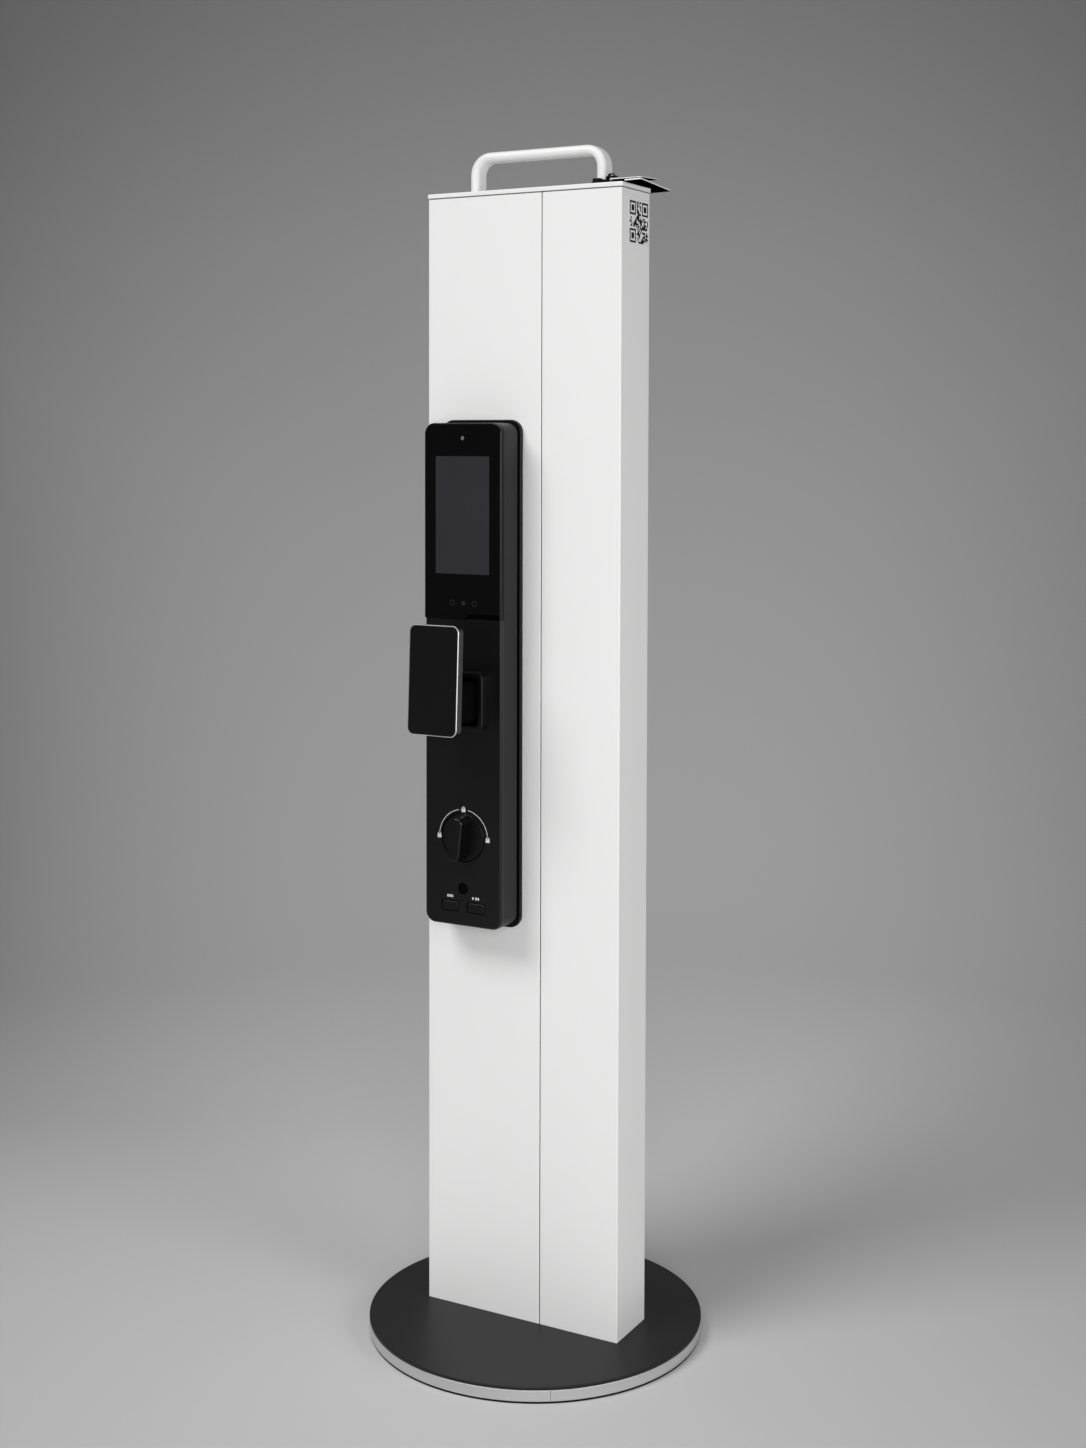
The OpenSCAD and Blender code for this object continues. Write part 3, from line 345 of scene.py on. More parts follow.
def connect_finish(group, inlet, outlet, pattern, height, depth):
    """One noise changes the tone and the gloss, and a second one gives the relief."""
    centred = math_node(group, "SUBTRACT", pattern, 0.5)
    tone = math_node(group, "MULTIPLY_ADD", centred, inlet.outputs["Tone Spread"], 1.0)
    rough = math_node(
        group, "MULTIPLY_ADD", centred, inlet.outputs["Roughness Spread"], inlet.outputs["Roughness"]
    )
    bump = group.nodes.new("ShaderNodeBump")
    bump.inputs["Distance"].default_value = depth
    feed(group, inlet.outputs["Relief"], bump.inputs["Strength"])
    feed(group, height, bump.inputs["Height"])
    feed(group, toned(group, inlet.outputs["Tone"], tone), outlet.inputs["Color"])
    feed(group, rough, outlet.inputs["Roughness"])
    feed(group, bump.outputs["Normal"], outlet.inputs["Normal"])


def build_grain_group():
    group, inlet, outlet = new_group("fine_grain", ("Grain Scale", FLOAT))
    patches = scaled_noise(group, inlet.outputs["Vector"], 9, 4)
    grain = scaled_noise(group, inlet.outputs["Vector"], inlet.outputs["Grain Scale"], 2)
    connect_finish(group, inlet, outlet, patches, grain, 0.1 * MM)
    return group


def build_brushed_group():
    group, inlet, outlet = new_group("brushed_lines", ("Stretch", VECTOR))
    stretch = group.nodes.new("ShaderNodeVectorMath")
    stretch.operation = "MULTIPLY"
    feed(group, inlet.outputs["Vector"], stretch.inputs[0])
    feed(group, inlet.outputs["Stretch"], stretch.inputs[1])
    lines = scaled_noise(group, stretch.outputs[0], 1.0, 5)
    connect_finish(group, inlet, outlet, lines, lines, 0.05 * MM)
    return group


fine_grain = build_grain_group()
brushed_lines = build_brushed_group()
print("node groups:", fine_grain.name, brushed_lines.name)


# %% Material helpers
def linear(grey):
    """Linear light of a grey written from 0 to 255."""
    value = grey / 255
    return value / 12.92 if value <= 0.04045 else ((value + 0.055) / 1.055) ** 2.4


def grey(value, tint=(1, 1, 1)):
    return tuple(linear(value) * t for t in tint) + (1,)


def bare_material(name):
    material = bpy.data.materials.new(name)
    material.use_nodes = True
    tree = material.node_tree
    coords = tree.nodes.new("ShaderNodeTexCoord")
    return material, tree, tree.nodes["Principled BSDF"], coords.outputs["Object"]


def add_group(tree, group, coords, **values):
    node = tree.nodes.new("ShaderNodeGroup")
    node.node_tree = group
    feed(tree, coords, node.inputs["Vector"])
    for key, value in values.items():
        node.inputs[key.replace("_", " ")].default_value = value
    return node


def finish_from_group(name, group, metallic, shine, values):
    """A material whose colour, roughness and normal come from one of the groups."""
    material, tree, shader, coords = bare_material(name)
    node = add_group(tree, group, coords, **values)
    feed(tree, node.outputs["Color"], shader.inputs["Base Color"])
    feed(tree, node.outputs["Roughness"], shader.inputs["Roughness"])
    feed(tree, node.outputs["Normal"], shader.inputs["Normal"])
    shader.inputs["Metallic"].default_value = metallic
    shader.inputs["Specular IOR Level"].default_value = shine
    return material


def grained(name, tone, roughness, grain=900, relief=0.1, spread=0.05, metallic=0.0, shine=0.5):
    values = dict(Tone=tone, Tone_Spread=spread, Grain_Scale=grain, Relief=relief,
                  Roughness=roughness, Roughness_Spread=0.08)
    return finish_from_group(name, fine_grain, metallic, shine, values)


def brushed(name, tone, roughness, stretch, relief, spread):
    values = dict(Tone=tone, Tone_Spread=spread, Stretch=stretch, Relief=relief,
                  Roughness=roughness, Roughness_Spread=0.2)
    return finish_from_group(name, brushed_lines, 1.0, 0.5, values)


def field_mask(tree, coords, centre, size, axes=("X", "Z")):
    """1 inside a rectangle across two axes, 0 outside."""
    split = tree.nodes.new("ShaderNodeSeparateXYZ")
    feed(tree, coords, split.inputs[0])
    sides = []
    for axis, halfway, width in zip(axes, centre, size):
        offset = math_node(tree, "SUBTRACT", split.outputs[axis], halfway)
        sides.append(math_node(tree, "LESS_THAN", math_node(tree, "ABSOLUTE", offset), width / 2))
    return math_node(tree, "MULTIPLY", *sides)


def mixed(tree, mask, first, second):
    """The first colour where the mask is 0, the second where it is 1."""
    node = tree.nodes.new("ShaderNodeMix")
    node.data_type = "RGBA"
    feed(tree, mask, node.inputs["Factor"])
    feed(tree, first, node.inputs[6])
    feed(tree, second, node.inputs[7])
    return node.outputs[2]


# %% [markdown]
# ## Finishes
# The stand is new and clean, so the finishes differ by gloss and grain more than by wear.
# Powder coat has a fine orange peel, the moulded plastic a spark-eroded grain, the band
# long brushed lines round the rim. The glass is printed black behind, and the screen shows
# through it as a slightly lighter field.

# %% Coats, plastics and rubber
white_coat = grained("white_powder_coat", grey(238, (1, 1, 0.995)), 0.42, 700, 0.12, 0.02)
black_coat = grained("black_powder_coat", grey(26), 0.45, 900, 0.25, 0.1, shine=0.3)
moulded = grained("moulded_black", grey(7), 0.36, 1500, 0.12, 0.1, shine=0.4)
# Painted shade: a darker, duller copy of the moulded black, set to the shaded tone of the housing's
# side faces.
moulded_shaded_side = grained("moulded_shaded_side", grey(4), 0.38, 1500, 0.12, 0.1, shine=0.26)
bezel_black = grained("bezel_black", grey(3), 0.4, 1500, 0.1, 0.1, shine=0.1)
button_plastic = grained("button_plastic", grey(3), 0.33, 1500, 0.1, 0.1, shine=0.4)
# Painted shade for the walls inside the narrow seam between the leaf and the frame.
seam_shade = grained("seam_painted_shade", grey(70), 0.6, 900, 0.1, 0.1)
# Painted shade: near-black for places in shade, the notch, the handle arms and the reset button.
shade_black = grained("painted_shade_black", grey(3), 0.8, 1500, 0.2, 0.1, shine=0.05)
gasket_rubber = grained("gasket_rubber", grey(10), 0.75, 500, 0.3, 0.15, shine=0.2)
plate_black = grained("mounting_plate_black", grey(3), 0.4, 1200, 0.1, 0.1, shine=0.2)
anodised = grained("black_anodised", grey(10), 0.3, 2500, 0.06, 0.08, shine=0.36)
white_print = grained("white_print", grey(205), 0.5, 2500, 0.05, 0.05)
card_face = grained("tag_face", grey(8), 0.5, 900, 0.08, 0.15, shine=0.15)
card_back = grained("card_matt", grey(4), 0.95, 1500, 0.1, 0.1, shine=0.0)
card_edge = grained("tag_edge", grey(240), 0.5, 2500, 0.1, 0.1)
board_green = grained("board_green", (0.01, 0.09, 0.035, 1), 0.35, 700, 0.1, 0.2)
cell_wrap = grained("cell_wrap", (0.03, 0.08, 0.25, 1), 0.3, 600, 0.05, 0.1)

# %% Metals
band_steel = brushed("brushed_band", grey(222), 0.42, (5, 5, 3200), 0.2, 0.25)
satin_steel = brushed("satin_steel", grey(176), 0.34, (3000, 3000, 12), 0.12, 0.2)
zinc_steel = grained("zinc_plated", grey(165, (1, 1, 0.97)), 0.38, 350, 0.1, 0.2, 1.0)
core_iron = grained("cast_core", grey(80), 0.7, 300, 0.5, 0.3, 0.8)
sawn_aluminium = brushed("sawn_aluminium", grey(180), 0.4, (30, 2500, 2500), 0.3, 0.3)
cut_trim = brushed("cut_trim", grey(238), 0.42, (2500, 30, 30), 0.03, 0.1)
brass = grained("turned_brass", (0.55, 0.38, 0.12, 1), 0.32, 400, 0.1, 0.15, 1.0)


# %% Glass with the screen behind it
def build_panel_glass(name, centre, size, field_grey):
    """Black printed glass with a lighter field where the screen is."""
    material, tree, shader, coords = bare_material(name)
    mask = field_mask(tree, coords, centre, size)
    cloud = scaled_noise(tree, coords, 14, 3)
    tone = math_node(tree, "MULTIPLY_ADD", cloud, 0.3, 0.85)
    colour = mixed(tree, mask, grey(7), grey(field_grey, (0.97, 0.98, 1.1)))
    feed(tree, toned(tree, colour, tone), shader.inputs["Base Color"])
    feed(tree, math_node(tree, "MULTIPLY_ADD", cloud, 0.06, 0.08), shader.inputs["Roughness"])
    shader.inputs["Specular IOR Level"].default_value = 0.2
    return material


SCREEN_GREY = 49
screen_low, screen_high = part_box("display")
screen_size = screen_high - screen_low
panel_glass = build_panel_glass(
    "panel_glass", (middle("display").x, middle("display").z), (screen_size.x, screen_size.z),
    SCREEN_GREY,
)
# Painted highlight: a mid grey for the middle of the camera lens, in place of its reflection.
lens_painted_highlight = grained("lens_painted_highlight", grey(105), 0.12, 900, 0.02, 0.2)
print("screen field", [round(v / MM, 1) for v in (screen_size.x, screen_size.z)], "mm")

# %% [markdown]
# ## Paint the construction
# Every CAD node gets the finish of its slot, including those inside the housings, so that
# they look right when the model is taken apart. Nodes that a modelled piece replaces later
# are hidden then.

# %% Finishes on the CAD nodes
SLOT_FINISH = {
    "white_powder_coat": white_coat, "black_powder_coat": black_coat, "core_steel": core_iron,
    "stainless_band": band_steel, "mat_rubber": gasket_rubber, "zinc_steel": zinc_steel,
    "block_aluminium": sawn_aluminium, "satin_steel": satin_steel, "brass": brass,
    "black_plate": plate_black, "black_plastic": moulded, "black_aluminium": anodised,
    "bright_trim": cut_trim, "black_glass": panel_glass, "screen": panel_glass,
    "lens": lens_painted_highlight, "board_green": board_green, "cell_wrap": cell_wrap,
    "tag_card": card_face,
}
for part in frame["record"]["subparts"]:
    cad = nodes[part["node"]]
    for index in range(len(cad.material_slots)):
        cad.material_slots[index].link = "OBJECT"
        cad.material_slots[index].material = SLOT_FINISH[part["material_slot"]]
print("painted", len(nodes), "construction nodes")

# %% [markdown]
# ## Base
# A steel core carries a black top plate, with a stainless strip bent round the rim. The
# plate is a disc whose rim is broken by a small bevel. The strip is made as the real one is:
# its section is drawn once and spun round the axis, and it stops short of a full turn, which
# leaves the joint.

# %% Top plate and rubber mat
BASE_SIDES = 256


def base_disc(name, node, top_soft, bottom_soft):
    low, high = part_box(node)
    disc = rod(name, (0, 0, middle(node).z), "Z", high.x, high.z - low.z, BASE_SIDES)
    bevel_edges(disc, in_plane(2, high.z), top_soft, 3)
    bevel_edges(disc, in_plane(2, low.z), bottom_soft, 2)
    return smooth(disc)


top_plate = base_disc("base_plate_disc", "base_top_plate", top_soft=0.7 * MM, bottom_soft=0.2 * MM)
finish_piece(top_plate, black_coat, "stand", "black_powder_coat", "base_top_plate")
rubber_mat = base_disc("base_mat_disc", "base_mat", top_soft=0.3 * MM, bottom_soft=0.6 * MM)
finish_piece(rubber_mat, gasket_rubber, "stand", "mat_rubber", "base_mat")

# %% Stainless band with its joint
BAND_T = 1.5 * MM
BAND_ROUND = 0.5 * MM
JOINT_GAP = math.radians(0.12)
JOINT_ANGLE = math.radians(-56)


def rounded_section(name, centre, size, corner, steps, turn=(0, 0, 0)):
    """A flat section with rounded corners, left in edit mode with all of it selected."""
    deselect()
    bpy.ops.mesh.primitive_plane_add(size=1, location=centre, rotation=turn)
    bpy.context.object.scale = (*size, 1)
    section = settle(name)
    edit(section, "VERT")
    bpy.ops.mesh.bevel(offset=corner, segments=steps, affect="VERTICES")
    return section


band_low, band_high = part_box("base_band")
outer_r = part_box("base_top_plate")[1].x
band = rounded_section(
    "rim_band", (outer_r - BAND_T / 2, 0, middle("base_band").z),
    (BAND_T, band_high.z - band_low.z), BAND_ROUND, 3, (math.pi / 2, 0, 0),
)
edit(band, "FACE")
spin(2 * math.pi - JOINT_GAP, (0, 0, 0), (0, 0, 1), BASE_SIDES)
band = placed(outward_normals(band), (0, 0, 0), (0, 0, JOINT_ANGLE))
finish_piece(smooth(band), band_steel, "stand", "stainless_band", "base_band")

# %% [markdown]
# ## Section of door and frame
# Each section is a folded tube of sheet steel with tight corners of 1 mm. A block is made,
# its four upright edges are rounded, and its ends are taken off. A wall is then given to the
# open sleeve. The opening for the lock's edge plate is cut through the wall of the leaf.

# %% Leaf and frame sections
SHEET = 1.5 * MM
CORNER = 1 * MM


def folded_tube(name, node):
    low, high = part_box(node)
    tube = block(name, low, high)
    bevel_edges(tube, along(2), CORNER, 6)
    edit(tube, "FACE", lambda face: abs(face.normal.z) > 0.9)
    bpy.ops.mesh.delete(type="FACE")
    object_mode()
    return apply_modifier(tube, "SOLIDIFY", thickness=SHEET, offset=-1, use_even_offset=True)


def shade_seam(tube):
    """Painted shade: a grey second material for the wall that faces the other section, in the narrow
    seam.
    """
    seam_x = (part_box("leaf_section")[1].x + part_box("frame_section")[0].x) / 2
    for face in tube.data.polygons:
        at_seam = abs(face.center.x - seam_x) < 0.5 * MM
        face.material_index = int(at_seam and abs(face.normal.x) > 0.9)
    return tube


FACEPLATE_GAP = 0.2 * MM
leaf_tube = folded_tube("leaf_tube", "leaf_section")
face_low, face_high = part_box("edge_faceplate")
cut_margin = Vector((MM, FACEPLATE_GAP, FACEPLATE_GAP))
cut(leaf_tube, block("edge_cut", face_low - cut_margin, face_high + cut_margin))
frame_tube = folded_tube("frame_tube", "frame_section")
for tube, node in ((leaf_tube, "leaf_section"), (frame_tube, "frame_section")):
    paints = (white_coat, seam_shade)
    finish_piece(shade_seam(smooth(tube)), paints, "stand", "white_powder_coat", node)

# %% [markdown]
# ## Cap and carry handle
# The cap is a plate with rounded corners and soft rims. The handle is one bent bar of oval
# section: the section is extruded up, spun through a quarter turn, extruded across, and down
# again on the other side, as the bar itself is bent.

# %% Top cap
CAP_CORNER = 2 * MM
CAP_RIM = 0.9 * MM
CAP_FOOT = 0.4 * MM
cap_low, cap_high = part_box("top_cap")
cap = block("cap_plate", cap_low, cap_high)
bevel_edges(cap, along(2), CAP_CORNER, 6)
bevel_edges(cap, in_plane(2, cap_high.z), CAP_RIM, 4)
bevel_edges(cap, in_plane(2, cap_low.z), CAP_FOOT, 2)
finish_piece(smooth(cap), white_coat, "stand", "white_powder_coat", "top_cap")

# %% Carry handle
GRIP_BEND = 15.5 * MM
GRIP_T = 9 * MM
GRIP_ROUND = 0.98
BEND_STEPS = 14
grip_low, grip_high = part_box("carry_handle")
left_x, right_x = grip_low.x + GRIP_T / 2, grip_high.x - GRIP_T / 2
leg_h = grip_high.z - grip_low.z - GRIP_T / 2 - GRIP_BEND
bend_z = grip_low.z + leg_h
grip = rounded_section(
    "grip_bar", (left_x, 0, grip_low.z), (GRIP_T, grip_high.y - grip_low.y),
    GRIP_T / 2 * GRIP_ROUND, 10,
)
slide(z=leg_h)
spin(math.pi / 2, (left_x + GRIP_BEND, 0, bend_z), (0, 1, 0), BEND_STEPS)
slide(x=right_x - left_x - 2 * GRIP_BEND)
spin(math.pi / 2, (right_x - GRIP_BEND, 0, bend_z), (0, 1, 0), BEND_STEPS)
slide(z=-leg_h)
outward_normals(grip)
finish_piece(smooth(grip, 40), white_coat, "stand", "white_powder_coat", "carry_handle")
print("handle top", round(max(v.co.z for v in grip.data.vertices) / MM, 1), "mm")

# %% [markdown]
# ## Rounded slabs
# Nearly every part of the lock is a slab with rounded corners and a soft front edge. One
# helper makes them: a block, its corner edges rounded first, then the rim of its front face.
# `out` is -1 for the unit in front and +1 for the unit at the back.

# %% Slab helper
lock_x = middle("glass_panel").x
UNIT_CORNER = 10 * MM


def slab(name, low, high, corner, soft=0.0, out=-1, back_soft=0.0, corners="all", steps=10):
    """A slab that faces along Y, with rounded corners and softened rims."""
    obj = block(name, low, high)
    half_way = (low[2] + high[2]) / 2

    def is_corner(a, b):
        wanted = corners == "all" or (a.z > half_way) == (corners == "top")
        return wanted and along(1)(a, b)

    if corner:
        bevel_edges(obj, is_corner, corner, steps)
    front = low[1] if out < 0 else high[1]
    back = high[1] if out < 0 else low[1]
    if soft:
        bevel_edges(obj, in_plane(1, front), soft, 5)
    if back_soft:
        bevel_edges(obj, in_plane(1, back), back_soft, 3)
    return obj


OPENING_CORNER = 2.5 * MM
PAST = 5 * MM


def opening(name, node, margin):
    """A cutter along Y with a node's outline, grown by a margin and passing right through."""
    low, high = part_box(node)
    grow = Vector((margin, PAST, margin))
    return slab(name, low - grow, high + grow, OPENING_CORNER)


def rim_but(height, front):
    """Test for the edges of a front face, except those that lie at one height."""
    return lambda a, b: in_plane(1, front)(a, b) and not in_plane(2, height)(a, b)


# %% [markdown]
# ## Inside unit: plate, housing and covers
# A mounting plate shows as a thin rim round the housing, with a dark groove between them.
# The housing is a deep tray, so its open side is inset and pushed in. The lower cover closes
# it below, and its front edge is rounded where the hand passes. It stops at the glass with a
# small step that catches the light.

# %% Mounting plate
PLATE_CORNER = 11.3 * MM
PLATE_RIM = 0.9 * MM
plate_low, plate_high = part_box("inner_mount_plate")
mount_plate = slab("mount_plate_rim", plate_low, plate_high, PLATE_CORNER, PLATE_RIM)
finish_piece(smooth(mount_plate), plate_black, "stand", "black_plate", "inner_mount_plate")

# %% Housing tray
housing_low, housing_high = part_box("inner_housing")
CROWN = Vector((0, 0, 1.3 * MM))
housing_high += CROWN
GROOVE = 2.7 * MM
SPIGOT = 2.5 * MM
WALL = 2 * MM
LAP = 0.2 * MM
BACK_RIM = 1 * MM
groove_y = housing_high.y - GROOVE
shell = slab(
    "housing_shell", housing_low, (housing_high.x, groove_y, housing_high.z), UNIT_CORNER,
    back_soft=BACK_RIM,
)
hollow(shell, housing_low.y, WALL, groove_y - housing_low.y - WALL)
spigot = slab(
    "housing_spigot", (housing_low.x + SPIGOT, groove_y - LAP, housing_low.z + SPIGOT),
    (housing_high.x - SPIGOT, housing_high.y, housing_high.z - SPIGOT), UNIT_CORNER - SPIGOT,
)
housing = join("housing_tray", shell, spigot)
finish_piece(smooth(housing), moulded_shaded_side, "stand", "black_plastic", "inner_housing")

# %% Lower cover
COVER_SKIN = 2.5 * MM
COVER_ROUND = 2.2 * MM
COLLAR_WALL = 3.5 * MM
DISC_R = 21.75 * MM
TURN_GAP = 1 * MM
KEY_GAP = 0.5 * MM
DRILL = 30 * MM
cover_low, cover_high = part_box("lower_cover")
turn_z = middle("thumbturn").z
reset_low, reset_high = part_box("round_button")
reset_r = (reset_high.x - reset_low.x) / 2
cover = slab("cover_lower", cover_low, cover_high, UNIT_CORNER, corners="bottom")
bevel_edges(cover, rim_but(cover_high.z, cover_low.y), COVER_ROUND, 6)
hollow(cover, cover_high.y, WALL, -(cover_high.y - cover_low.y - COVER_SKIN))


def round_through(x, z, radius):
    return rod("drill", (x, middle("lower_cover").y, z), "Y", radius, DRILL, 96)


cut(
    cover,
    round_through(lock_x, turn_z, DISC_R + TURN_GAP),
    round_through(lock_x, middle("round_button").z, reset_r + KEY_GAP),
    opening("collar_cut", "inner_collar", -COLLAR_WALL),
    opening("left_cut", "left_button", KEY_GAP),
    opening("right_cut", "right_button", KEY_GAP),
)
soften(cover, 0.35 * MM, 2)
finish_piece(smooth(cover), moulded, "stand", "black_plastic", "lower_cover")

# %% Bezel and glass
bezel_low, bezel_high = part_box("upper_bezel")
glass_low, glass_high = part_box("glass_panel")
bezel_high += CROWN
glass_high += CROWN
NOTCH_W = 36.5 * MM
NOTCH_H = 4.7 * MM
NOTCH_SLANT = 4 * MM
NOTCH_FLOOR = 1.5 * MM
NOTCH_INSET = 1.7 * MM
GLASS_ROUND = 1.2 * MM
LENS_GAP = 0.2 * MM
lens_low, lens_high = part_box("inner_camera")
lens_centre = middle("inner_camera")
lens_r = (lens_high.x - lens_low.x) / 2
notch_right = glass_high.x - NOTCH_INSET
notch_left = notch_right - NOTCH_W
notch_middle = notch_right - NOTCH_W / 2


def notch_cutter(back_y):
    """The finger notch, with a slanted left end."""
    cutter = block(
        "notch", (notch_left, glass_low.y - PAST, glass_low.z - NOTCH_H),
        (notch_right, back_y, glass_low.z + NOTCH_H),
    )
    edit(cutter, "VERT", lambda vert: vert.co.x < notch_middle and vert.co.z > glass_low.z)
    bpy.ops.transform.translate(value=(NOTCH_SLANT, 0, 0))
    object_mode()
    return cutter


def shade_notch(obj):
    """Painted shade: a near-black second material for the floor and the walls of the notch."""
    foot, reach = glass_low.z + 0.3 * MM, glass_low.z + NOTCH_H + 0.1 * MM
    for face in obj.data.polygons:
        between = notch_left < face.center.x < notch_right
        face.material_index = int(between and foot < face.center.z < reach)
    return obj


bezel = slab("glass_bezel", bezel_low, bezel_high, UNIT_CORNER, corners="top")
cut(bezel, notch_cutter(bezel_high.y - NOTCH_FLOOR))
soften(bezel, 0.3 * MM, 2)
shade_notch(smooth(bezel))
finish_piece(bezel, (bezel_black, shade_black), "stand", "black_plastic", "upper_bezel")

glass = slab("glass_front", glass_low, glass_high, UNIT_CORNER, corners="top")
bevel_edges(glass, rim_but(glass_low.z, glass_low.y), GLASS_ROUND, 5)
cut(
    glass, notch_cutter(glass_high.y + PAST),
    round_through(lens_centre.x, lens_centre.z, lens_r + LENS_GAP),
)
soften(glass, 0.25 * MM, 2)
finish_piece(smooth(glass), panel_glass, "stand", "black_glass", "glass_panel")

# %% Camera lens
LENS_HIGHLIGHT_R = 1.75 * MM
lens = rod("camera_lens", lens_centre, "Y", lens_r, lens_high.y - lens_low.y)
edit(lens, "FACE", lambda face: face.normal.y < -0.9)
bpy.ops.mesh.inset(thickness=0.7 * MM)
slide(y=0.3 * MM)
bpy.ops.mesh.inset(thickness=0.5 * MM, depth=0.35 * MM)
bpy.ops.mesh.inset(thickness=0.8 * MM, depth=0.12 * MM)
object_mode()
# Painted highlight: the faces in the middle of the lens get the lighter grey.
for face in lens.data.polygons:
    away = math.hypot(face.center.x - lens_centre.x, face.center.z - lens_centre.z)
    face.material_index = int(away < LENS_HIGHLIGHT_R and face.normal.y < 0)
finish_piece(smooth(lens, 60), (bezel_black, lens_painted_highlight), "stand", "lens", "inner_camera")

# %% [markdown]
# ## Push handle
# A square collar stands on the cover. The arm comes out of it and carries the palm plate,
# which leans out a little at its lower end. The plate's front edge is a bright chamfer cut
# through the black anodising. The plate is modelled upright at the origin, and then turned
# and placed.

# %% Collar and arm
COLLAR_LIP = Vector((1.2, 0, 1)) * MM
COLLAR_CORNER = 6 * MM
DRUM_R = 11 * MM
DRUM_LAP = 2 * MM
STEM_CORNER = 5 * MM


def build_collar(node, out):
    low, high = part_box(node)
    collar = slab(node + "_ring", low - COLLAR_LIP, high + COLLAR_LIP, COLLAR_CORNER)
    cut(collar, opening("collar_bore", node, -COLLAR_WALL))
    bevel_edges(collar, in_plane(1, low.y if out < 0 else high.y), 0.7 * MM, 4)
    return smooth(collar)


def build_arm(node, out):
    """The visible part of the arm, with a drum round the pivot pin."""
    low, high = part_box(node)
    pivot = middle(node)
    pivot.y = high.y - DRUM_R if out < 0 else low.y + DRUM_R
    stem_low = (low.x, low.y if out < 0 else pivot.y + DRUM_LAP, low.z)
    stem_high = (high.x, pivot.y - DRUM_LAP if out < 0 else high.y, high.z)
    stem = slab(node + "_stem", stem_low, stem_high, STEM_CORNER)
    return smooth(fuse(stem, rod("drum", pivot, "X", DRUM_R, high.x - low.x)))


finish_piece(build_collar("inner_collar", -1), moulded, "stand", "black_plastic", "inner_collar")
# Painted shade: the arm inside the collar is near-black.
finish_piece(build_arm("inner_arm", -1), shade_black, "inner_handle", "black_aluminium", "inner_arm")

# %% Palm plate and trim
PALM_SIZE = Vector((51, 10, 98)) * MM
PALM_R = 6.5 * MM
PALM_LEAN = math.radians(2.6)
TRIM_W = 0.75 * MM
TRIM_DEEP = 0.7 * MM
TRIM_GAP = 0.25 * MM
TRIM_CHAMFER = 0.45 * MM
FIELD_EDGE = 0.12 * MM
PALM_BACK = 2 * MM


def place_palm(obj, centre, out):
    """Puts a plate modelled at the origin in its place and leans its foot outwards."""
    return smooth(placed(obj, centre, (out * PALM_LEAN, 0, 0)), 20)


def palm_levels(out):
    front = out * PALM_SIZE.y / 2
    return front, front - out * TRIM_DEEP


def palm_slab(name, y0, y1, inset):
    half = PALM_SIZE / 2
    low = (-half.x + inset, min(y0, y1), -half.z + inset)
    high = (half.x - inset, max(y0, y1), half.z - inset)
    return slab(name, low, high, PALM_R - inset)


def palm_plate(name, centre, out):
    """Black plate whose front field is raised inside the ring of the trim."""
    front, foot = palm_levels(out)
    body = palm_slab(name, foot, -front, 0)
    bevel_edges(body, in_plane(1, -front), PALM_BACK, 5)
    hollow(body, foot, TRIM_W + TRIM_GAP, out * TRIM_DEEP)
    bevel_edges(body, in_plane(1, front), FIELD_EDGE, 1)
    return place_palm(body, centre, out)


def palm_trim(name, centre, out):
    """The bright ring: a slab with a chamfered front rim and an open middle."""
    front, foot = palm_levels(out)
    ring = palm_slab(name, foot, front, 0)
    bevel_edges(ring, in_plane(1, front), TRIM_CHAMFER, 1)
    past = out * PAST
    cut(ring, palm_slab("field_cut", foot - past, front + past, TRIM_W))
    return place_palm(ring, centre, out)


def span(*names):
    """Lowest and highest corner of several nodes together."""
    boxes = [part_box(name) for name in names]
    low = Vector(min(b[0][i] for b in boxes) for i in range(3))
    high = Vector(max(b[1][i] for b in boxes) for i in range(3))
    return low, high


palm_low, palm_high = span("inner_palm_plate", "inner_trim")
palm_centre = (palm_low + palm_high) / 2
inner_palm = palm_plate("palm_plate_inside", palm_centre, -1)
finish_piece(inner_palm, anodised, "inner_handle", "black_aluminium", "inner_palm_plate")
inner_ring = palm_trim("palm_trim_inside", palm_centre, -1)
finish_piece(inner_ring, cut_trim, "inner_handle", "bright_trim", "inner_trim")

# %% [markdown]
# ## Thumbturn
# A disc lies flush in the cover, with a narrow ring gap round it. A finger bar stands on it,
# a little narrower at its top, with rounded ends. At rest it points almost straight up. The
# bar is modelled upright, and turned with the disc about the spindle.

# %% Disc and finger bar
BAR_W = 14.2 * MM
BAR_H = 15.5 * MM
BAR_TURN = math.radians(6)
BAR_ROUND = 0.42
BAR_TAPER = (0.88, 1, 0.94)
BAR_INSET = 0.8 * MM
BAR_LAP = 1 * MM
BAR_EDGE = 1.6 * MM
DISC_EDGE = 0.5 * MM
STEM_R = 8 * MM
STEM_H = 27 * MM
STEM_Y = 17 * MM
DISC_T = 4 * MM
disc_front = cover_low.y
bar_front = disc_front - BAR_H


def build_thumbturn():
    disc = rod("thumbturn_knob", (0, disc_front + DISC_T / 2, 0), "Y", DISC_R, DISC_T, 96)
    bevel_edges(disc, in_plane(1, disc_front), DISC_EDGE, 3)
    bar = slab(
        "turn_bar", (-BAR_W / 2, bar_front, BAR_INSET - DISC_R),
        (BAR_W / 2, disc_front + BAR_LAP, DISC_R - BAR_INSET), BAR_W * BAR_ROUND,
    )
    edit(bar, "FACE", faces_at(1, bar_front))
    bpy.ops.transform.resize(value=BAR_TAPER, center_override=(0, disc_front, 0))
    object_mode()
    bevel_edges(bar, in_plane(1, bar_front), BAR_EDGE, 5)
    stem = rod("turn_stem", (0, disc_front + STEM_Y, 0), "Y", STEM_R, STEM_H)
    knob = join("thumbturn_knob", disc, bar, stem)
    return smooth(placed(knob, (lock_x, 0, turn_z), (0, BAR_TURN, 0)))


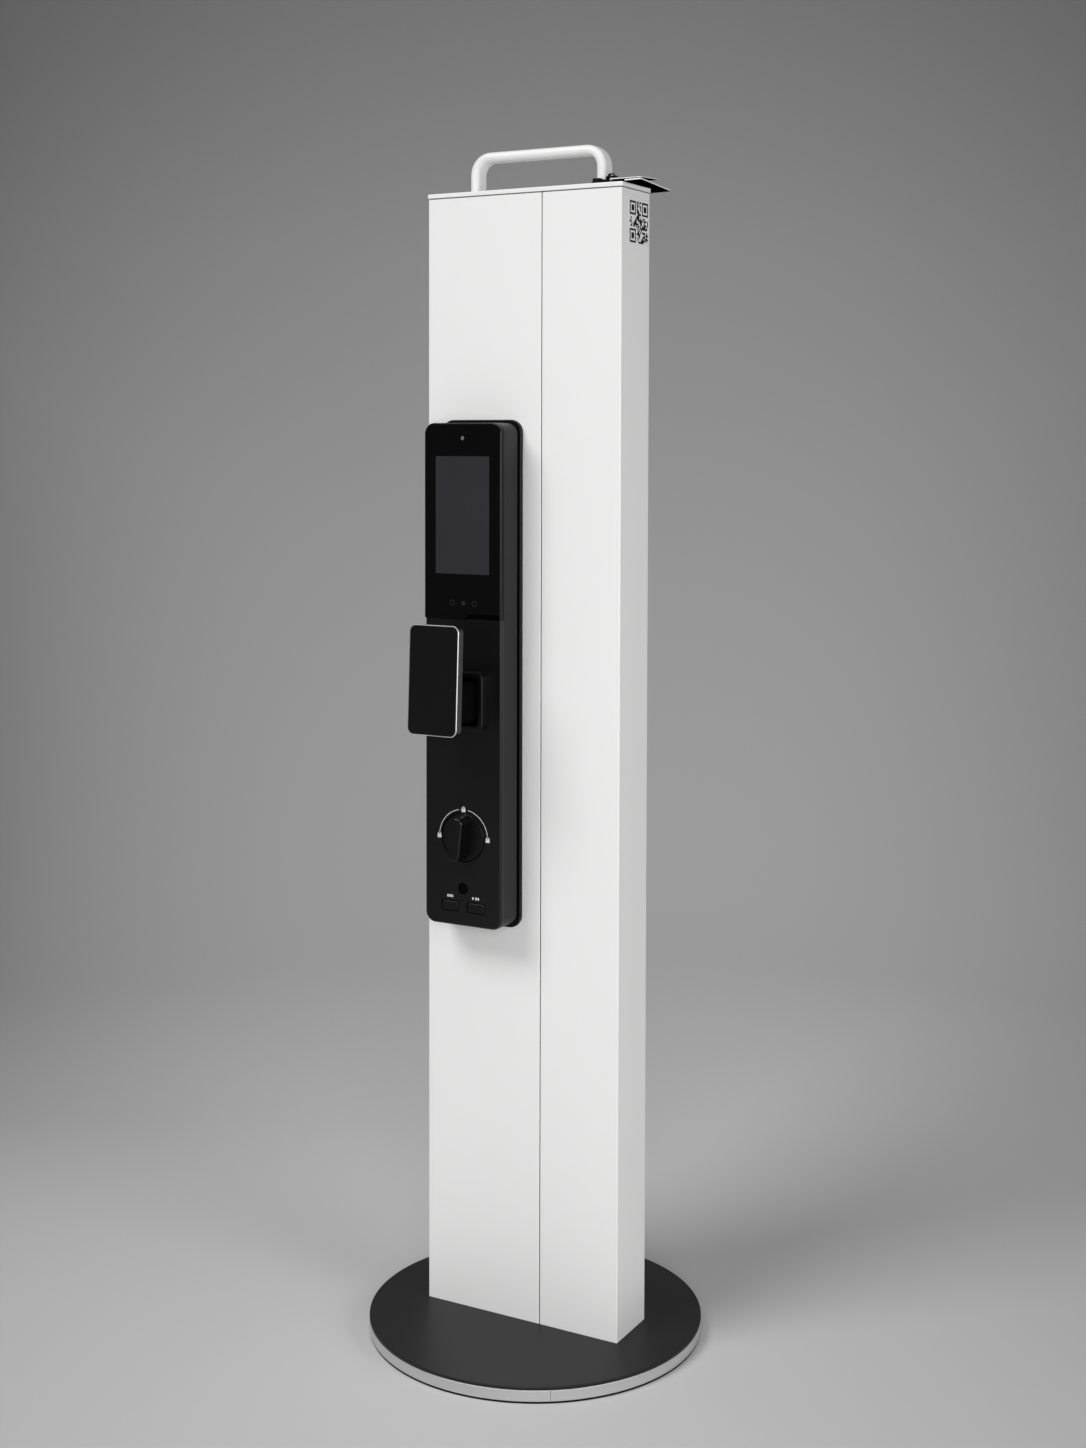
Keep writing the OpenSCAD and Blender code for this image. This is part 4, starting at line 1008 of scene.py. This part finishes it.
finish_piece(build_thumbturn(), button_plastic, "thumbturn", "black_plastic", "thumbturn")

# %% Buttons
KEY_PLAY = Vector((0.3, 0, 0.3)) * MM
KEY_CORNER = 2 * MM
KEY_ROUND = 0.9 * MM


def build_button(node):
    low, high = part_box(node)
    return smooth(slab(node + "_cap", low + KEY_PLAY, high - KEY_PLAY, KEY_CORNER, KEY_ROUND))


for side in ("left_button", "right_button"):
    finish_piece(build_button(side), button_plastic, side, "black_plastic", side)
reset = rod("reset_cap", middle("round_button"), "Y", reset_r, reset_high.y - reset_low.y)
bevel_edges(reset, in_plane(1, reset_low.y), 0.5 * MM, 3)
# Painted shade: the reset button sits in its hole as a near-black disc.
finish_piece(smooth(reset, 60), shade_black, "round_button", "black_plastic", "round_button")

# %% [markdown]
# ## Printed marks
# Fine white marks are screen printed on the cover: an arc over the thumbturn that joins
# three padlock signs, a pointer on the disc and short dashes over the buttons. Each mark is
# a flat shape that stands a few hundredths of a millimetre proud of the surface.

# %% Mark helpers
INK = 0.06 * MM
THIN = 0.001 * MM
LINE_W = 0.6 * MM


def mark_plate(name, x, z, width, height, face_y, corner=0.0):
    """A flat printed shape centred at x, z."""
    low = (x - width / 2, face_y - INK, z - height / 2)
    high = (x + width / 2, face_y + INK / 2, z + height / 2)
    return slab(name, low, high, corner, steps=4)


def mark_arc(name, x, z, radius, width, start, sweep, face_y, steps=32):
    """A printed ring segment. Angles are degrees from straight up, clockwise."""
    low = (-THIN, face_y - INK, radius - width / 2)
    high = (THIN, face_y + INK / 2, radius + width / 2)
    arc = block(name, low, high)
    edit(arc, "FACE", lambda face: face.normal.x > 0.9)
    spin(math.radians(sweep), (0, 0, 0), (0, 1, 0), steps)
    object_mode()
    return outward_normals(placed(arc, (x, 0, z), (0, math.radians(start), 0)))


print("marks stand", INK / MM, "mm proud")

# %% Arc, padlock signs and pointer
ARC_R = 25.5 * MM
ARC_SWEEP = 71
PRINT_SHIFT = 0.6 * MM
print_x = lock_x + PRINT_SHIFT


def padlock(name, x, z, face_y):
    """A plain padlock sign: a body with a shackle over it."""
    width, height, corner = 4.2 * MM, 3.4 * MM, 0.5 * MM
    bow_r, bow_w = 1.45 * MM, 0.65 * MM
    body = mark_plate(name, x, z - 0.7 * MM, width, height, face_y, corner)
    shackle = mark_arc("shackle", x, z + 1.0 * MM, bow_r, bow_w, -90, 180, face_y, 12)
    return join(name, body, shackle)


arcs = [
    mark_arc("arc", print_x, turn_z, ARC_R, LINE_W, start, ARC_SWEEP, cover_low.y)
    for start in (-82, 11)
]
signs = [
    padlock("sign", print_x + across * ARC_R, turn_z + up * ARC_R, cover_low.y)
    for across, up in ((-1, 0), (0, 1), (1, 0))
]
dial = join("dial_print", *arcs, *signs)
finish_piece(dial, white_print, "stand", "bright_trim")
POINTER = (0.9 * MM, 1.9 * MM)
pointer = mark_plate("turn_pointer", 0, DISC_R - 1.6 * MM, *POINTER, disc_front)
pointer = placed(pointer, (lock_x, 0, turn_z), (0, BAR_TURN, 0))
finish_piece(pointer, white_print, "thumbturn", "bright_trim")

# %% Dashes over the buttons and touch marks
DASH = (1.7 * MM, 2.3 * MM)
dash_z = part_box("left_button")[1].z + 4.4 * MM
dashes = [
    mark_plate("dash", middle(side).x + shift * MM, dash_z, *DASH, cover_low.y)
    for side, shifts in (("left_button", (-2.3, 0, 2.3)), ("right_button", (-2.9, 0.3, 2.7)))
    for shift in shifts
]
finish_piece(join("button_print", *dashes), white_print, "stand", "bright_trim")

faint_print = grained("faint_print", grey(34), 0.3, 2500, 0.05, 0.1)
TOUCH_Z = glass_low.z + 14.6 * MM
TOUCH_SIDE = 3.6 * MM
TOUCH_R = 2.3 * MM
touches = [
    mark_arc("touch", lock_x + shift * MM, TOUCH_Z, TOUCH_R, LINE_W, 0, 359, glass_low.y, 40)
    for shift in (-10.6, 12.8)
]
square = mark_plate("touch", lock_x + 1.2 * MM, TOUCH_Z, TOUCH_SIDE, TOUCH_SIDE, glass_low.y, MM)
touch_print = join("touch_print", *touches, square)
finish_piece(touch_print, faint_print, "stand", "bright_trim")

# %% [markdown]
# ## Side label
# A small square of dark and light cells is stuck high on the right side. It is a random
# pattern that stands for a code and can't be read. The cells come from white noise on
# rounded coordinates, and three framed squares are set in its corners.

# %% Label material
def build_cell_pattern(name, centre, side, cells=21):
    material, tree, shader, coords = bare_material(name)
    split = tree.nodes.new("ShaderNodeSeparateXYZ")
    feed(tree, coords, split.inputs[0])
    pitch = side / cells

    def cell_number(axis, halfway):
        """Counts cells from the label's lower corner."""
        shift = math_node(tree, "SUBTRACT", split.outputs[axis], halfway - side / 2)
        return math_node(tree, "FLOOR", math_node(tree, "DIVIDE", shift, pitch))

    across, upward = cell_number("Y", centre[0]), cell_number("Z", centre[1])
    cell = tree.nodes.new("ShaderNodeCombineXYZ")
    feed(tree, across, cell.inputs["X"])
    feed(tree, upward, cell.inputs["Y"])
    noise = tree.nodes.new("ShaderNodeTexWhiteNoise")
    noise.noise_dimensions = "2D"
    feed(tree, cell.outputs[0], noise.inputs["Vector"])
    ink = math_node(tree, "GREATER_THAN", noise.outputs["Value"], 0.44)

    def cells_away(number, cell_index):
        return math_node(tree, "ABSOLUTE", math_node(tree, "SUBTRACT", number, cell_index))

    for u, v in ((3, 3), (3, cells - 4), (cells - 4, cells - 4)):
        reach = math_node(tree, "MAXIMUM", cells_away(across, u), cells_away(upward, v))
        away = math_node(tree, "GREATER_THAN", reach, 4.5)
        core = math_node(tree, "LESS_THAN", reach, 1.5)
        frame_line = math_node(tree, "COMPARE", reach, 3.0, 0.4)
        ink = math_node(tree, "MULTIPLY", ink, away)
        ink = math_node(tree, "MAXIMUM", ink, math_node(tree, "ADD", core, frame_line))
    inside = field_mask(tree, coords, centre, (side, side), ("Y", "Z"))
    ink = math_node(tree, "MULTIPLY", ink, inside)
    feed(tree, mixed(tree, ink, grey(236), grey(10)), shader.inputs["Base Color"])
    rough = math_node(tree, "MULTIPLY_ADD", scaled_noise(tree, coords, 40, 2), 0.1, 0.3)
    feed(tree, rough, shader.inputs["Roughness"])
    return material


frame_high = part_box("frame_section")[1]
LABEL = (6.0 * MM, frame_high.z - 28.0 * MM)
LABEL_SIDE = 37 * MM
LABEL_MARGIN = 2 * MM
TEXT_ROW = 2 * MM
STUCK = 0.05 * MM
LABEL_T = 0.12 * MM
LABEL_CORNER = 1.5 * MM
label_ink = build_cell_pattern("label_cells", LABEL, LABEL_SIDE)
label_half = LABEL_SIDE / 2 + LABEL_MARGIN
label = block(
    "side_label", (frame_high.x - STUCK, LABEL[0] - label_half, LABEL[1] - label_half),
    (frame_high.x + LABEL_T, LABEL[0] + label_half, LABEL[1] + label_half + TEXT_ROW),
)
bevel_edges(label, along(0), LABEL_CORNER, 5)
finish_piece(smooth(label), label_ink, "stand", "tag_card")

# %% [markdown]
# ## Clip and tags on the cap
# A black spring clip stands beside the handle's foot, and two thin cards lie under its
# lever. A card is a thin slab with rounded corners, turned and tilted as it lies. Its cut
# edges are white and its faces dark, so the side faces get a second material.

# %% Cards
CARD_TURN = math.radians(8)
CARD_CORNER = 3 * MM
cap_edge_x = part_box("top_cap")[1].x


def card(name, node, width, height, thickness, tilts):
    """A card turned about its near right corner, and laid where the construction has it."""
    obj = block(name, (-width, 0, 0), (0, height, thickness))
    bevel_edges(obj, along(2), CARD_CORNER, 6)
    obj.rotation_euler = (math.radians(tilts[0]), math.radians(tilts[1]), CARD_TURN)
    bpy.context.view_layer.update()
    corners = [obj.matrix_world @ Vector(corner) for corner in obj.bound_box]
    lowest = Vector(min(corner[i] for corner in corners) for i in range(3))
    return paint_card(placed(obj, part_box(node)[0] - lowest, obj.rotation_euler))


def paint_card(obj):
    """White cut edges, but painted shadow where the lower card's near edge lies on the cap under the
    clip.
    """
    edit(obj, "FACE")
    bpy.ops.mesh.bisect(plane_co=(cap_edge_x, 0, 0), plane_no=(1, 0, 0))
    object_mode()
    for face in obj.data.polygons:
        # Painted shadow: the lower card's near edge on the cap gets the dark face material.
        shaded_on_cap = obj.name == "card_lower" and face.normal.y < -0.5 and face.center.x < cap_edge_x
        face.material_index = 0 if abs(face.normal.z) > 0.95 or shaded_on_cap else 1
    return smooth(obj, 20)


for name, node, width, height, thickness, tilts in (
    ("card_lower", "tag_lower", 34 * MM, 90 * MM, 1.2 * MM, (0, -2.6)),
    ("card_upper", "tag_upper", 30 * MM, 56 * MM, 0.7 * MM, (4.6, -1.6)),
):
    tag = card(name, node, width, height, thickness, tilts)
    finish_piece(tag, (card_back, card_edge), "stand", "tag_card", node)

# %% [markdown]
# ## Spring clip
# A small steel clip holds the cards on the cap. Its foot carries two ears with a pin through
# them, and the lever turns on the pin. The lever and its hook are bent from strips, so each
# is modelled as a sheet: one edge is extruded from bend to bend, and the strip then gets its
# thickness.

# %% Clip foot and pin
clip_low, clip_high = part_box("clip_body")
pin_low, pin_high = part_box("clip_pin")
pin_at = middle("clip_pin")
EAR_T = 1.6 * MM
FOOT_T = 1 * MM
EAR_BACK = 1.6 * MM
EAR_FRONT = 0.2 * MM
EAR_ROUND = 0.9 * MM
FOOT_CORNER = 0.8 * MM
PIN_R = (pin_high.x - pin_low.x) / 2


def build_clip_foot():
    foot = block("clip_foot", clip_low, (clip_high.x, clip_high.y, clip_low.z + FOOT_T))
    bevel_edges(foot, along(2), FOOT_CORNER, 3)
    for low_y in (clip_low.y, clip_high.y - EAR_T):
        ear = block("clip_ear", (clip_low.x + EAR_BACK, low_y, clip_low.z),
                    (clip_high.x - EAR_FRONT, low_y + EAR_T, clip_high.z))
        bevel_edges(ear, lambda a, b: along(1)(a, b) and a.z > clip_low.z + FOOT_T, EAR_ROUND)
        fuse(foot, ear)
    soften(foot, 0.15 * MM, 2)
    return smooth(foot)


finish_piece(build_clip_foot(), anodised, "stand", "satin_steel", "clip_body")
pin = rod("clip_pin_head", pin_at, "Y", PIN_R, pin_high.y - pin_low.y, 32)
bevel_edges(pin, lambda a, b: abs(a.y - b.y) < TINY, 0.25 * MM, 2)
finish_piece(smooth(pin), anodised, "stand", "satin_steel", "clip_pin")

# %% Clip lever
STRIP_T = 0.75 * MM
lever_low, lever_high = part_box("clip_lever")


def bent_strip(name, path, inset):
    """A strip of sheet that follows bends given as X and Z from the pin, in millimetres."""
    width = lever_high.y - lever_low.y - 2 * inset
    bends = [Vector((x, 0, z)) * MM for x, z in path]
    start = Vector((pin_at.x, middle("clip_lever").y, pin_at.z)) + bends[0]
    deselect()
    bpy.ops.mesh.primitive_plane_add(size=width, location=start + Vector((width / 2, 0, 0)))
    strip = settle(name)
    edit(strip, "VERT", lambda vert: vert.co.x > start.x + width / 2)
    bpy.ops.mesh.delete(type="VERT")
    bpy.ops.mesh.select_all(action="SELECT")
    for bend, following in zip(bends, bends[1:]):
        slide(*(following - bend))
    object_mode()
    apply_modifier(strip, "SOLIDIFY", thickness=STRIP_T, offset=0, use_even_offset=True)
    return soften(outward_normals(strip), 0.12 * MM, 2)


LEVER_BENDS = (
    (-3.8, 1.0), (-1.6, 0.7), (0.4, -0.55), (6.0, -0.55), (6.35, 2.6), (13.4, 2.7), (14.3, 3.2),
)
HOOK_BENDS = ((7.2, 2.9), (7.9, 4.9), (12.4, 4.9))
HOOK_INSET = 1.5 * MM
KNUCKLE_R = 1.35 * MM
BORE_GAP = 0.1 * MM
knuckle_w = lever_high.y - lever_low.y - 2 * BORE_GAP
knuckle = rod("clip_knuckle", pin_at, "Y", KNUCKLE_R, knuckle_w, 32)
cut(knuckle, rod("pin_bore", pin_at, "Y", PIN_R + BORE_GAP, 2 * knuckle_w, 32))
lever = join(
    "clip_lever_strip", bent_strip("lever_strip", LEVER_BENDS, 0),
    bent_strip("hook_strip", HOOK_BENDS, HOOK_INSET), knuckle,
)
finish_piece(smooth(lever), anodised, "clip_lever", "satin_steel", "clip_lever")

# %% [markdown]
# ## Unit at the back
# The unit at the back has a glass touch panel over a moulded housing, and a pull handle like
# the one in front. The same helpers make them, facing the other way. The key cylinder and the
# small cover that swings aside from it are shown by their CAD nodes.

# %% Back housing and glass
BACK_WALL = 2.5 * MM
KEY_HOLE_R = 11.2 * MM
BACK_ROUND = 2.6 * MM
TOUCH_PANEL_CORNER = 6 * MM
back_low, back_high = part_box("outer_housing")
key_centre = middle("key_cylinder")
back_shell = slab("back_housing", back_low, back_high, UNIT_CORNER, BACK_ROUND, 1)
hollow(back_shell, back_low.y, BACK_WALL, back_high.y - back_low.y - BACK_WALL)
cut(
    back_shell,
    opening("back_collar_cut", "outer_collar", -COLLAR_WALL),
    rod("key_cut", (key_centre.x, back_high.y, key_centre.z), "Y", KEY_HOLE_R, 18 * MM),
)
finish_piece(smooth(back_shell), moulded, "stand", "black_plastic", "outer_housing")

touch_low, touch_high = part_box("outer_glass")
back_glass = slab("back_glass", touch_low, touch_high, TOUCH_PANEL_CORNER, 0.9 * MM, 1)
finish_piece(smooth(back_glass), panel_glass, "stand", "black_glass", "outer_glass")

# %% Back handle
back_centre = middle("outer_palm_plate")
finish_piece(build_collar("outer_collar", 1), moulded, "stand", "black_plastic", "outer_collar")
# Painted shade: the arm inside the collar is near-black.
finish_piece(build_arm("outer_arm", 1), shade_black, "outer_handle", "black_aluminium", "outer_arm")
back_palm = palm_plate("palm_plate_back", back_centre, 1)
finish_piece(back_palm, anodised, "outer_handle", "black_aluminium", "outer_palm_plate")
back_ring = palm_trim("palm_trim_back", back_centre, 1)
finish_piece(back_ring, cut_trim, "outer_handle", "bright_trim")

# %% [markdown]
# ## Floor, backdrop and light
# The floor and the wall are one sweep: a disc, a cove and an upright wall all round, so
# that every view has the same quiet ground. A wide soft light stands high in front and a
# little to the left. Two weaker ones fill from the front and the right. They are narrowed,
# so that they throw little light on the cove beside them. The world adds an even base.
# The paper of the sweep carries painted light and shade, graded round the line of the view.

# %% Sweep
ROOM_R = 3.2
COVE_R = 1.9
ROOM_H = 4.0
COVE_STEPS = 20
FLOOR_R = ROOM_R - COVE_R


def lift_rim(start, end):
    """Extrudes the outer edge of the sweep from one radius and height to the next."""
    bpy.ops.mesh.extrude_edges_move(TRANSFORM_OT_translate={"value": (0, 0, end[1] - start[1])})
    ratio = end[0] / start[0]
    bpy.ops.transform.resize(value=(ratio, ratio, 1), center_override=(0, 0, end[1]))


deselect()
bpy.ops.mesh.primitive_circle_add(vertices=96, radius=FLOOR_R, fill_type="NGON")
sweep = settle("studio_sweep")
edit(sweep, "EDGE", lambda edge: True)
cove = [math.pi / 2 * step / COVE_STEPS for step in range(COVE_STEPS + 1)]
profile = [(FLOOR_R + COVE_R * math.sin(a), COVE_R * (1 - math.cos(a))) for a in cove]
profile.append((ROOM_R, ROOM_H))
for start, end in zip(profile, profile[1:]):
    lift_rim(start, end)
object_mode()
bpy.ops.object.shade_smooth_by_angle(angle=math.radians(40))


def ranged(tree, value, low, high, at_low, at_high):
    """Maps a value from one range to another and holds it at the ends."""
    node = tree.nodes.new("ShaderNodeMapRange")
    node.inputs["From Min"].default_value = low
    node.inputs["From Max"].default_value = high
    node.inputs["To Min"].default_value = at_low
    node.inputs["To Max"].default_value = at_high
    feed(tree, value, node.inputs["Value"])
    return node.outputs["Result"]


# The painted light and shade on the paper lie square to the line from the view to the stand, which
# is turned 29 degrees from the stand's own front.
TURN_COS, TURN_SIN = 0.874, 0.485


def build_sweep_painted_light():
    """Pale grey paper with painted light and shade: lighter on the floor than up the wall, and
    painted shade to both sides.
    """
    material, tree, shader, coords = bare_material("sweep_paper_painted_light")
    split = tree.nodes.new("ShaderNodeSeparateXYZ")
    feed(tree, coords, split.inputs[0])
    x, y, z = (split.outputs[axis] for axis in "XYZ")

    def turned(first, second, sine):
        part = math_node(tree, "MULTIPLY", second, sine)
        return math_node(tree, "MULTIPLY_ADD", first, TURN_COS, part)

    across, inward = turned(x, y, TURN_SIN), turned(y, x, -TURN_SIN)
    # The lightest line of the painted light passes a little left in front of the stand and a little
    # right behind.
    lightest = ranged(tree, inward, 0.05, 0.55, -0.07, 0.17)
    offset = math_node(tree, "DIVIDE", math_node(tree, "SUBTRACT", across, lightest), 1.2)
    # The painted shade to the sides is strongest round the stand, and weaker far behind it and close
    # to the view.
    behind = ranged(tree, inward, 1.1, 2.7, 0.66, 0.26)
    fall = math_node(tree, "MULTIPLY", behind, ranged(tree, inward, -1.2, -0.3, 0.35, 1.0))
    dark = math_node(tree, "MULTIPLY", math_node(tree, "POWER", offset, 2.0), fall)
    side = math_node(tree, "MAXIMUM", math_node(tree, "SUBTRACT", 1.0, dark), 0.3)
    # Painted shade: the floor in front of the stand is slightly darker.
    near = ranged(tree, inward, -0.35, 0.35, 0.86, 1.0)
    # Painted falloff: the paper gets darker up the wall.
    ramp = tree.nodes.new("ShaderNodeValToRGB")
    feed(tree, math_node(tree, "DIVIDE", z, ROOM_H), ramp.inputs["Fac"])
    foot, top = ramp.color_ramp.elements
    foot.color = grey(215)
    top.color = grey(165)
    top.position = 0.5
    ramp.color_ramp.elements.new(0.325).color = grey(190)
    level = math_node(tree, "MULTIPLY", side, near)
    feed(tree, toned(tree, ramp.outputs["Color"], level), shader.inputs["Base Color"])
    shader.inputs["Roughness"].default_value = 0.9
    shader.inputs["Specular IOR Level"].default_value = 0.1
    return material


sweep.data.materials.append(build_sweep_painted_light())
print("sweep radius", ROOM_R, "m")


# %% Lamps and world
def soft_lamp(name, place, aim_z, size, watts, spread=180):
    """A round soft lamp aimed at a height on the stand's axis."""
    aim = Vector((0, 0, aim_z)) - Vector(place)
    bpy.ops.object.light_add(type="AREA", location=place)
    lamp = bpy.context.object
    lamp.name = name
    lamp.data.shape = "DISK"
    lamp.data.size = size
    lamp.data.energy = watts
    lamp.data.spread = math.radians(spread)
    lamp.rotation_euler = aim.to_track_quat("-Z", "Y").to_euler()
    lamp.visible_camera = False


deselect()
soft_lamp("key_lamp", (-1.2, -2.6, 3.1), 0.5, size=2.0, watts=104)
soft_lamp("front_lamp", (1.1, -1.9, 0.85), 0.35, size=1.0, watts=7.4, spread=120)
soft_lamp("right_lamp", (2.2, -0.5, 1.0), 0.5, size=1.2, watts=8.6, spread=120)
world = bpy.data.worlds.new("even_light")
bpy.context.scene.world = world
world.use_nodes = True
even_light = world.node_tree.nodes["Background"]
even_light.inputs["Color"].default_value = (1, 1, 1, 1)
even_light.inputs["Strength"].default_value = 0.34
bpy.context.scene.view_settings.view_transform = "Standard"
print("lamps set")

# %% Finish
print("pieces made:", len(made))
